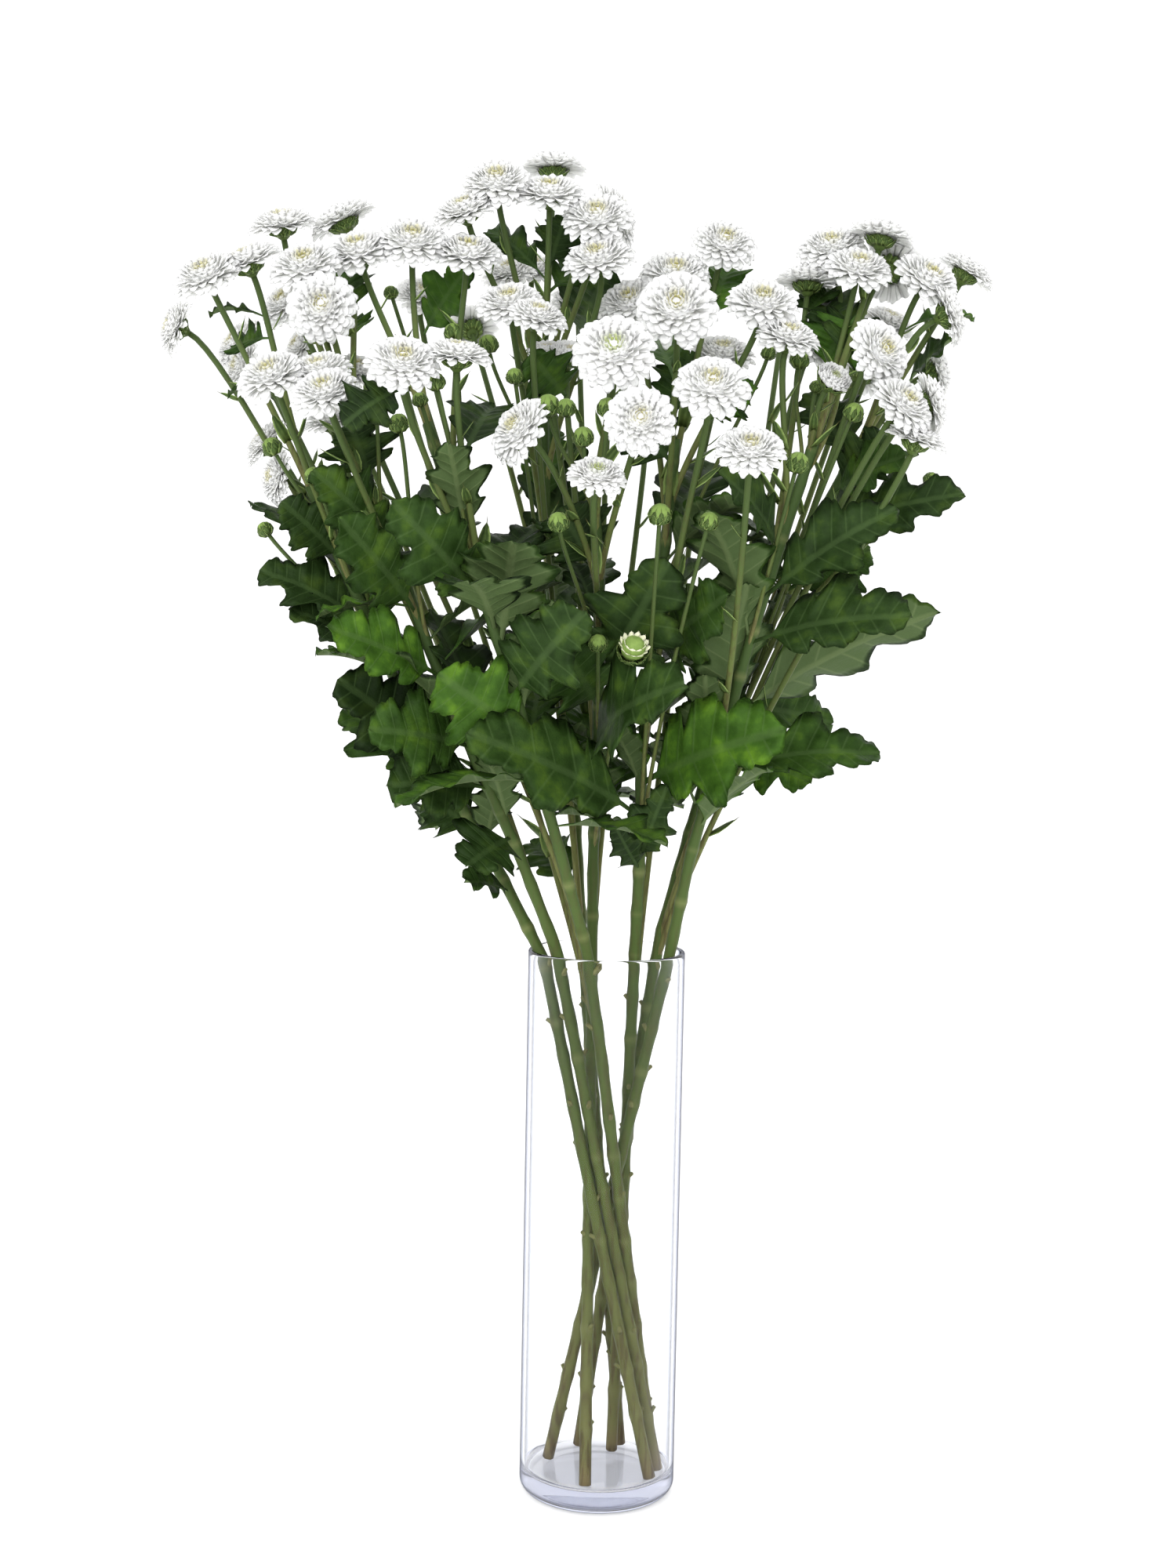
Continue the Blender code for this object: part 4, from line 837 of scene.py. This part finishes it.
def add_leaf(gathered, base, tip, face, width, rng):
    """A lobed, toothed blade on its stalk, quilted between its veins, with a wavy edge."""
    way, across, up = leaf_axes(base, tip, face)
    length = (tip - base).length
    half = width / 2
    s = np.linspace(0, 1, LEAF_ROWS)[:, None]
    v = np.linspace(-1, 1, LEAF_COLUMNS)[None, :]
    small = rng.random(8)
    teeth = 0.10 * np.abs(np.sin(math.pi * (s * 10 + small[0]))) - 0.055
    teeth = teeth * np.clip((s - 0.19) * 20, 0, 1) * np.clip((0.98 - s) * 20, 0, 1)
    lobes = np.interp(s, LOBE_SHARES, LOBE_WIDTHS)
    lobes = lobes * (1 + 0.10 * np.sin(math.tau * (s * 2.2 + small[3]) + np.sign(v) * small[4] * 2))
    lobes = lobes + teeth * np.clip(lobes * 2, 0, 1)
    edge = np.where(v > 0, 1 + 0.10 * (small[1] - 0.5), 1 + 0.10 * (small[2] - 0.5))
    share = s + LOBE_LEAN * lobes * np.abs(v)
    out = v * lobes * half * edge
    blade = np.clip((s - 0.17) * 8, 0, 1)
    arch = LEAF_ARCH * length * (share - share**2) * 2
    near = np.min(np.abs(s[..., None] - np.array(VEINS)), axis=-1)
    quilt = blade * (np.clip(near / 0.045, 0, 1) - 0.5) * LEAF_QUILT * np.sin(np.pi * np.abs(v))
    rib = -blade * 0.0009 * np.exp(-((v / 0.16) ** 2))
    waves = math.tau * (s * (3.0 + small[3]) + small[4]) + np.sign(v) * small[5] * 3
    wave = blade * v**2 * LEAF_WAVE * np.sin(waves)
    curl = (small[6] - 0.6) * 0.09 * length * share**3 + (small[7] - 0.5) * 0.30 * out * share
    rise = arch + np.abs(out) * LEAF_FOLD + quilt + rib + wave + curl
    thick = np.where(s < 0.19, 0.0016, LEAF_BLADE_THICKNESS)
    thick = thick + 0.0007 * np.exp(-((v / 0.12) ** 2)) * (1 - 0.7 * s)
    body = thick / 2 * np.sqrt(np.clip(1 - v**2, 0, 1)) * (np.sin(np.pi * np.clip(s, 0.004, 0.996)) ** 0.3)

    def placed(height):
        points = np.array(base)
        for reach, axis in ((share * length + 0 * v, way), (out, across), (height + 0 * out, up)):
            points = points + reach[..., None] * np.array(axis)
        return points

    top = placed(rise + body)
    low = placed(rise - body)[1:-1, 1:-1]
    points = np.concatenate([top.reshape(-1, 3), low.reshape(-1, 3)])
    marks = np.empty((LEAF_ROWS, LEAF_COLUMNS, 4))
    marks[..., 0] = s
    marks[..., 1] = 1.0
    marks[..., 2] = rng.random()
    marks[..., 3] = np.abs(v) * lobes
    below = marks[1:-1, 1:-1].copy()
    below[..., 1] = 0.0
    marks = np.concatenate([marks.reshape(-1, 4), below.reshape(-1, 4)])
    gathered.add(points, LEAF_FACES, marks)


class Solid:
    """A node's own corner points, which show how its stalks were led and its leaves held."""

    def __init__(self, node):
        points = [v.co.copy() for v in node.data.vertices]
        self.tree = KDTree(len(points))
        for k, point in enumerate(points):
            self.tree.insert(point, k)
        self.tree.balance()

    def share(self, points):
        """The share of these points that are corners of the node."""
        return sum(self.tree.find(point)[2] < SAME_POINT for point in points) / len(points)


def best_option(solid, options, corners, first=None):
    """The option whose corner points the node has most of, or none."""
    best = (LEAST_MATCH, None)
    for option in options:
        if first is not None and solid.share(first(option)) < 0.5:
            continue
        share = solid.share(corners(option))
        if share > best[0]:
            best = (share, option)
            if share > 0.99:
                break
    return best[1]


def leaf_corners(option):
    base, tip, face, width = option
    way, across, up = leaf_axes(base, tip, face)
    length = (tip - base).length
    found = []
    for share, out in LEAF_CORNERS:
        for side in (1, -1):
            rise = LEAF_ARCH * length * (share - share**2) * 2 + out * width / 2 * LEAF_FOLD
            found.append(base + way * (share * length) + across * (side * out * width / 2) + up * rise)
    return found


def sprays(nodes):
    """Every stalk's curve and every leaf's place, as they were built: by spray, in the order of the rows."""
    solids = {letter: Solid(nodes["spray_" + letter]) for letter in STEMS}
    paths = {letter: stem_path(stem) for letter, stem in STEMS.items()}
    runs = {letter: [path[STEM_FINE // 3 :]] for letter, path in paths.items()}
    flowers = []
    buds = []
    leaves = []

    def lead(letter, neck, way, radius, shares):
        path = paths[letter]

        def corners(option):
            rings = stalk(stalk_curve(path, neck, way, *option), radius, shares)
            return [point for ring_points in rings[1:] for point in ring_points]

        option = best_option(solids[letter], stalk_options(), corners)
        if option is None:
            print("no match for a stalk", letter, tuple(round(x, 4) for x in neck))
        return stalk_curve(path, neck, way, *(option or (0, 0.0, 0.0)))

    for head in HEADS:
        letter = head.name[0]
        way = facing(head.turn, head.tilt)
        ends = lead(letter, bloom_seat(head) - way * CUP_DEPTH, way, STALK_RADIUS, STALK_SHARES)
        flowers.append((letter, head, ends))
        corners = [bezier(ends, share) for share in STALK_SHARES] + [ends[3]]
        runs[letter].append(fine_line(corners, STALK_STEPS)[:-2])
    for bud in BUDS:
        letter = bud.name[0]
        spot = sight(bud.x, bud.y, bud.depth)
        way = (spot - paths[letter][STEM_FINE * 7 // 10]).normalized()
        ends = lead(letter, spot - way * (bud.width / 2), way, BUD_STALK_RADIUS, BUD_STALK_SHARES)
        buds.append((letter, bud, ends))

    def tip_of(option):
        return [option[1]]

    for leaf in LEAVES:
        options = leaf_options(runs[leaf.stem], leaf)
        option = best_option(solids[leaf.stem], options, leaf_corners, tip_of)
        if option:
            leaves.append((leaf.stem, option))
        else:
            print("no match for a leaf", leaf)
    spots = [(share, side, letter) for share, side in RULED_LEAVES for letter in paths]
    for number, (share, side, letter) in enumerate(spots, 1):
        options = ruled_leaf_options(paths[letter], share, side, number)
        option = best_option(solids[letter], options, leaf_corners, tip_of)
        if option:
            leaves.append((letter, option))
        else:
            print("no match for a ruled leaf", letter, share)
    return paths, flowers, buds, leaves


class Look:
    """A material, and short ways to add nodes to it."""

    def __init__(self, name, settings):
        self.made = bpy.data.materials.new(name)
        self.made.use_nodes = True
        self.nodes = self.made.node_tree.nodes
        self.shader = self.nodes["Principled BSDF"]
        for socket, value in settings.items():
            self.put(self.shader.inputs[socket], value)

    def put(self, socket, value):
        """Links a socket to another one, or gives it a number, a vector or a colour."""
        if isinstance(value, bpy.types.NodeSocket):
            self.made.node_tree.links.new(value, socket)
        elif socket.type == "RGBA":
            socket.default_value = (*value, 1)
        else:
            socket.default_value = value

    def node(self, kind, inputs, **settings):
        """A new node with its settings, and with what goes into its sockets."""
        made = self.nodes.new("ShaderNode" + kind)
        for name, value in settings.items():
            setattr(made, name, value)
        for socket, value in inputs.items():
            self.put(made.inputs[socket], value)
        return made

    def marks(self):
        """The four numbers kept at each point: along, tone, random and across."""
        source = self.node("Attribute", {}, attribute_name="marks")
        split = self.node("SeparateColor", {0: source.outputs["Color"]})
        return split.outputs[0], split.outputs[1], split.outputs[2], source.outputs["Alpha"]

    def ramp(self, source, *stops):
        """A ramp from stops of a place and a colour, or one number for a grey."""
        made = self.node("ValToRGB", {0: source})
        elements = made.color_ramp.elements
        while len(elements) > 1:
            elements.remove(elements[-1])
        for k, (place, colour) in enumerate(stops):
            element = elements[0] if k == 0 else elements.new(place)
            element.position = place
            element.color = (*colour, 1) if isinstance(colour, tuple) else (colour, colour, colour, 1)
        return made.outputs[0]

    def maths(self, kind, a, b=0.0):
        """One step of arithmetic on sockets or numbers."""
        return self.node("Math", {0: a, 1: b}, operation=kind).outputs[0]

    def mixed(self, share, a, b, blend="MIX"):
        """Two colours mixed by a share."""
        return self.node("Mix", {0: share, 6: a, 7: b}, data_type="RGBA", blend_type=blend).outputs[2]

    def noise(self, scale, detail=3.0, stretch=(1.0, 1.0, 1.0)):
        """Noise in the object's own coordinates."""
        place = self.node("TexCoord", {}).outputs["Object"]
        place = self.node("Mapping", {"Vector": place, "Scale": stretch}).outputs[0]
        return self.node("TexNoise", {"Vector": place, "Scale": scale, "Detail": detail}).outputs[0]

    def bump(self, height, strength, distance):
        made = self.node("Bump", {"Height": height, "Strength": strength, "Distance": distance})
        self.put(self.shader.inputs["Normal"], made.outputs[0])

    def paint(self, colour):
        self.put(self.shader.inputs["Base Color"], colour)


def petal_look():
    """White petals, cream at their base, that let some light through, with a beige or green eye."""
    look = Look("petals", {
        "Roughness": 0.62, "Specular IOR Level": 0.15, "Subsurface Weight": 0.5,
        "Subsurface Radius": (1.0, 1.0, 0.9), "Subsurface Scale": 0.0025,
    })
    along, tone, random, across = look.marks()
    rim = look.ramp(
        along, (0.0, (0.88, 0.89, 0.82)), (0.40, (0.92, 0.925, 0.89)), (0.70, (0.94, 0.94, 0.93)),
        (1.0, (0.93, 0.93, 0.92)),
    )
    core = look.ramp(
        along, (0.0, (0.30, 0.28, 0.07)), (0.6, (0.42, 0.39, 0.13)), (0.9, (0.62, 0.58, 0.29)),
        (1.0, (0.76, 0.73, 0.50)),
    )
    green_eye = look.maths("GREATER_THAN", random, 1.5)
    core = look.mixed(look.maths("MULTIPLY", green_eye, 0.8), core, (0.36, 0.46, 0.12))
    inner = look.ramp(tone, (0.70, 0), (0.78, 0.22), (0.89, 0.8), (1.0, 1))
    shade = look.ramp(random, (0.0, (0.965, 0.97, 0.965)), (1.0, 1))
    look.paint(look.mixed(1.0, look.mixed(inner, rim, core), shade, "MULTIPLY"))
    streaks = look.maths("SINE", look.maths("MULTIPLY", across, 26.0))
    look.bump(look.maths("ADD", look.maths("MULTIPLY", streaks, 0.5), look.noise(900.0, 2.0)), 0.25, 0.0002)
    return look.made


def bract_look():
    """Buds, cups and bracts: dark green with pale stripes and brown tips."""
    look = Look("bracts", {"Roughness": 0.5, "Specular IOR Level": 0.08})
    along, tone, _, across = look.marks()
    green = look.ramp(
        along, (0.0, (0.120, 0.166, 0.043)), (0.45, (0.051, 0.090, 0.024)), (0.80, (0.032, 0.059, 0.016)),
        (1.0, (0.073, 0.051, 0.024)),
    )
    stripe = look.ramp(across, (0.0, 0.15), (0.35, 0), (0.62, 0.1), (0.85, 0.9), (1.0, 1))
    colour = look.mixed(stripe, green, (0.33, 0.46, 0.15))
    ball = look.ramp(tone, (0.14, 1), (0.20, 0))
    colour = look.mixed(ball, colour, (0.20, 0.30, 0.08))
    cream = look.ramp(tone, (0.06, 1), (0.09, 0))
    colour = look.mixed(cream, colour, (0.85, 0.85, 0.68))
    shade = look.ramp(look.noise(260.0), (0.3, (0.78, 0.80, 0.74)), (0.7, (1.12, 1.1, 1.05)))
    look.paint(look.mixed(1.0, colour, shade, "MULTIPLY"))
    look.bump(look.noise(1400.0, 2.0), 0.3, 0.0002)
    return look.made


def stem_look():
    """Green ribbed stems, streaked with brown-purple low down and woody at the foot."""
    look = Look("stems", {"Roughness": 0.48, "Specular IOR Level": 0.08})
    along, _, _, joint = look.marks()
    green = look.ramp(
        along, (0.0, (0.226, 0.173, 0.080)), (0.03, (0.180, 0.180, 0.064)), (0.30, (0.101, 0.138, 0.037)),
        (0.7, (0.051, 0.088, 0.025)),
    )
    brown = look.ramp(look.noise(60.0, 4.0, (6.0, 6.0, 0.7)), (0.48, 0), (0.62, 0.75))
    low = look.ramp(along, (0.0, 0.9), (0.45, 0.40), (0.8, 0.06))
    colour = look.mixed(look.mixed(1.0, brown, low, "MULTIPLY"), green, (0.082, 0.055, 0.030))
    joint_share = look.ramp(joint, (0.4, 0), (1.0, 0.45))
    look.paint(look.mixed(joint_share, colour, (0.225, 0.240, 0.095)))
    look.bump(look.noise(500.0, 4.0, (1.0, 1.0, 0.15)), 0.5, 0.0004)
    return look.made


def leaf_look():
    """Dark green above with paler veins, grey-green below; each leaf's tone is changed at random, some darker
    and the brightest much lighter and yellow-green, which is painted light shining through them.
    """
    look = Look("leaves", {"Roughness": 0.52, "Specular IOR Level": 0.08})
    along, tone, random, across = look.marks()
    stops = [(0.0, 0)]
    for spot in VEINS:
        stops += [(spot - 0.009, 0), (spot, 1), (spot + 0.009, 0)]
    rib = look.ramp(across, (0.0, 1), (0.05, 0.85), (0.10, 0))
    veins = look.mixed(1.0, look.ramp(along, *stops), rib, "LIGHTEN")
    top = look.ramp(
        look.noise(70.0, 4.0), (0.30, (0.011, 0.023, 0.005)), (0.52, (0.023, 0.043, 0.011)),
        (0.72, (0.051, 0.082, 0.015)),
    )
    # Each leaf's tone at random: below 1 it is darker, above 1 brighter and yellow-green, which is painted
    # light shining through the leaf
    tone_and_painted_backlight = look.ramp(
        random, (0.0, (0.55, 0.62, 0.60)), (0.40, (0.85, 0.95, 0.85)), (0.72, (1.2, 1.45, 0.9)),
        (1.0, (1.9, 2.5, 1.0)),
    )
    top = look.mixed(1.0, top, tone_and_painted_backlight, "MULTIPLY")
    top = look.mixed(look.maths("MULTIPLY", veins, 0.30), top, (0.080, 0.135, 0.045))
    low = look.mixed(look.maths("MULTIPLY", veins, 0.55), (0.066, 0.104, 0.036), (0.133, 0.180, 0.073))
    look.paint(look.mixed(look.ramp(tone, (0.35, 0), (0.65, 1)), low, top))
    look.bump(look.maths("SUBTRACT", look.noise(420.0), look.maths("MULTIPLY", veins, 0.8)), 0.45, 0.0006)
    return look.made


def glass_look():
    """Clear glass with painted shade: it darkens to blue-grey and turns metallic where it is seen edge on,
    standing in for the dark edges that refraction gives.
    """
    look = Look("glass", {
        "Roughness": 0.0, "IOR": 1.45, "Transmission Weight": 1.0, "Specular Tint": (0.12, 0.12, 0.14),
    })
    tint = look.ramp(look.noise(9.0, 2.0), (0.3, (0.975, 0.980, 0.990)), (0.7, (0.995, 0.995, 1.0)))
    # Painted shade: blue-grey colour and more metal where the glass is seen edge on, standing in for the dark
    # lines along the vase's sides
    slant = look.node("LayerWeight", {"Blend": 0.5}).outputs["Facing"]
    edge = look.ramp(slant, (0.58, 1), (0.78, (0.62, 0.67, 0.84)), (0.94, (0.24, 0.29, 0.46)))
    look.paint(look.mixed(1.0, tint, edge, "MULTIPLY"))
    look.put(look.shader.inputs["Metallic"], look.ramp(slant, (0.68, 0), (0.86, 0.8)))
    depth = look.node("VolumeAbsorption", {"Color": (0.45, 0.50, 0.75), "Density": 6.0})
    look.put(look.nodes["Material Output"].inputs["Volume"], depth.outputs[0])
    return look.made


def floor_look():
    look = Look("floor", {"Roughness": 0.7, "Emission Color": (1, 1, 1), "Emission Strength": 0.25})
    look.paint(look.ramp(look.noise(2.0, 2.0), (0.3, 0.86), (0.7, 0.88)))
    return look.made


def arc(middle, radius, first, last, step):
    """Points on part of a circle, from and to an angle in degrees."""
    angles = [math.radians(degrees) for degrees in range(first, last, step)]
    return [(middle[0] + radius * math.cos(a), middle[1] + radius * math.sin(a)) for a in angles]


def vase_profile():
    """The turned outline, from the middle of the underside up the outside, over the rim and down inside."""
    lip = VASE_WALL / 2
    inner = VASE_RADIUS - VASE_WALL
    heights = [VASE_HEIGHT * share for share in (0.035, 0.12, 0.30, 0.50, 0.70, 0.90, 0.985)]
    outline = [(0.0, 0.0004), (0.020, 0.0004), (0.036, 0.0)]
    outline += arc((VASE_RADIUS - VASE_FOOT_ROUND, VASE_FOOT_ROUND), VASE_FOOT_ROUND, -90, 1, 10)
    outline += [(VASE_RADIUS, height) for height in heights]
    outline += arc((VASE_RADIUS - lip, VASE_HEIGHT - lip), lip, 0, 181, 15)
    outline += [(inner, height) for height in reversed(heights[1:])]
    outline.append((inner, VASE_FLOOR + VASE_INNER_ROUND * 1.3))
    outline += arc((inner - VASE_INNER_ROUND, VASE_FLOOR + VASE_INNER_ROUND), VASE_INNER_ROUND, 0, -91, -10)
    outline.append((0.0, VASE_FLOOR))
    return outline


def place_camera():
    data = bpy.data.cameras.new("front")
    data.sensor_fit = "VERTICAL"
    data.sensor_height = SENSOR_HEIGHT
    data.lens = FOCAL_PX * SENSOR_HEIGHT / FRAME_HEIGHT_PX
    camera = bpy.data.objects.new("front", data)
    right = Vector((1, 0, 0))
    x_axis = right * math.cos(EYE_ROLL) + EYE_UP * math.sin(EYE_ROLL)
    y_axis = EYE_UP * math.cos(EYE_ROLL) - right * math.sin(EYE_ROLL)
    columns = Matrix((x_axis, y_axis, -EYE_FORWARD)).transposed()
    camera.matrix_world = Matrix.Translation(EYE) @ columns.to_4x4()
    bpy.context.scene.collection.objects.link(camera)
    bpy.context.scene.camera = camera


def light_room():
    bpy.context.scene.view_settings.view_transform = "Standard"
    world = bpy.data.worlds.new("studio")
    world.use_nodes = True
    sky = world.node_tree.nodes["Background"]
    sky.inputs["Color"].default_value = (1.0, 1.0, 1.0, 1)
    sky.inputs["Strength"].default_value = WORLD_STRENGTH
    bpy.context.scene.world = world
    for number, (spot, size, power) in enumerate(SOFT_LIGHTS):
        data = bpy.data.lights.new(f"soft_{number}", "AREA")
        data.shape = "DISK"
        data.size = size
        data.energy = power
        light = bpy.data.objects.new(f"soft_{number}", data)
        light.location = spot
        light.rotation_euler = (LIGHTS_AIM - Vector(spot)).to_track_quat("-Z", "Y").to_euler()
        bpy.context.scene.collection.objects.link(light)
    floor = Gathered()
    turn = np.arange(64) * (math.tau / 64)
    edge = np.stack([np.cos(turn), np.sin(turn), 0 * turn], axis=1) * FLOOR_RADIUS
    points = np.concatenate([[[0, 0, 0]], edge])
    faces = np.array([(0, 1 + k, 1 + (k + 1) % 64) for k in range(64)])
    floor.add(points, faces, (0, 0, 0, 0))
    floor.made("floor", floor_look())


def join_node(piece, slot, *nodes):
    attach(piece, "root")
    if nodes:
        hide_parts(*nodes)


def main():
    nodes = frame["nodes"]
    place_camera()
    light_room()
    paths, flowers, buds, leaves = sprays(nodes)
    petals, bracts, stems, leafage = petal_look(), bract_look(), stem_look(), leaf_look()
    heads = {head.name: (head, number) for number, head in enumerate(HEADS)}
    for node in sorted(nodes):
        if node.startswith("bloom_"):
            bunch = Gathered()
            for name in node.split("_")[1:]:
                add_bloom(bunch, *heads[name])
            join_node(bunch.made("petals_" + node[6:], petals), "petals", node)

    for letter in STEMS:
        rng = np.random.default_rng(STEM_SEED + ord(letter))
        wood = Gathered()
        small = Gathered()
        blade = Gathered()
        add_main_stem(wood, paths[letter], rng)
        for owner, head, ends in flowers:
            if owner == letter:
                add_stalk(wood, ends, STALK_RADIUS, rng)
                add_cup(small, head, rng)
                for share in SMALL_BRACT_SHARES:
                    here, there = bezier(ends, share), bezier(ends, share + 0.02)
                    size = 0.012 + 0.024 * rng.random() * (1 - share)
                    add_small_bract(small, here, (there - here).normalized(), rng, size)
        for owner, bud, ends in buds:
            if owner == letter:
                add_stalk(wood, ends, BUD_STALK_RADIUS, rng)
                add_bud(small, bud, ends, rng)
        for owner, option in leaves:
            if owner == letter:
                add_leaf(blade, *option, rng)
        join_node(wood.made("stems_" + letter, stems), "foliage", "spray_" + letter)
        join_node(small.made("bracts_" + letter, bracts), "foliage")
        join_node(blade.made("leaves_" + letter, leafage), "foliage")

    glass = Gathered()
    add_turned(glass, (np.zeros(3), np.eye(3), 1.0), vase_profile(), GLASS_SIDES, (0, 0, 0, 0))
    join_node(glass.made("clear_vase", glass_look()), "glass", "vase")


main()
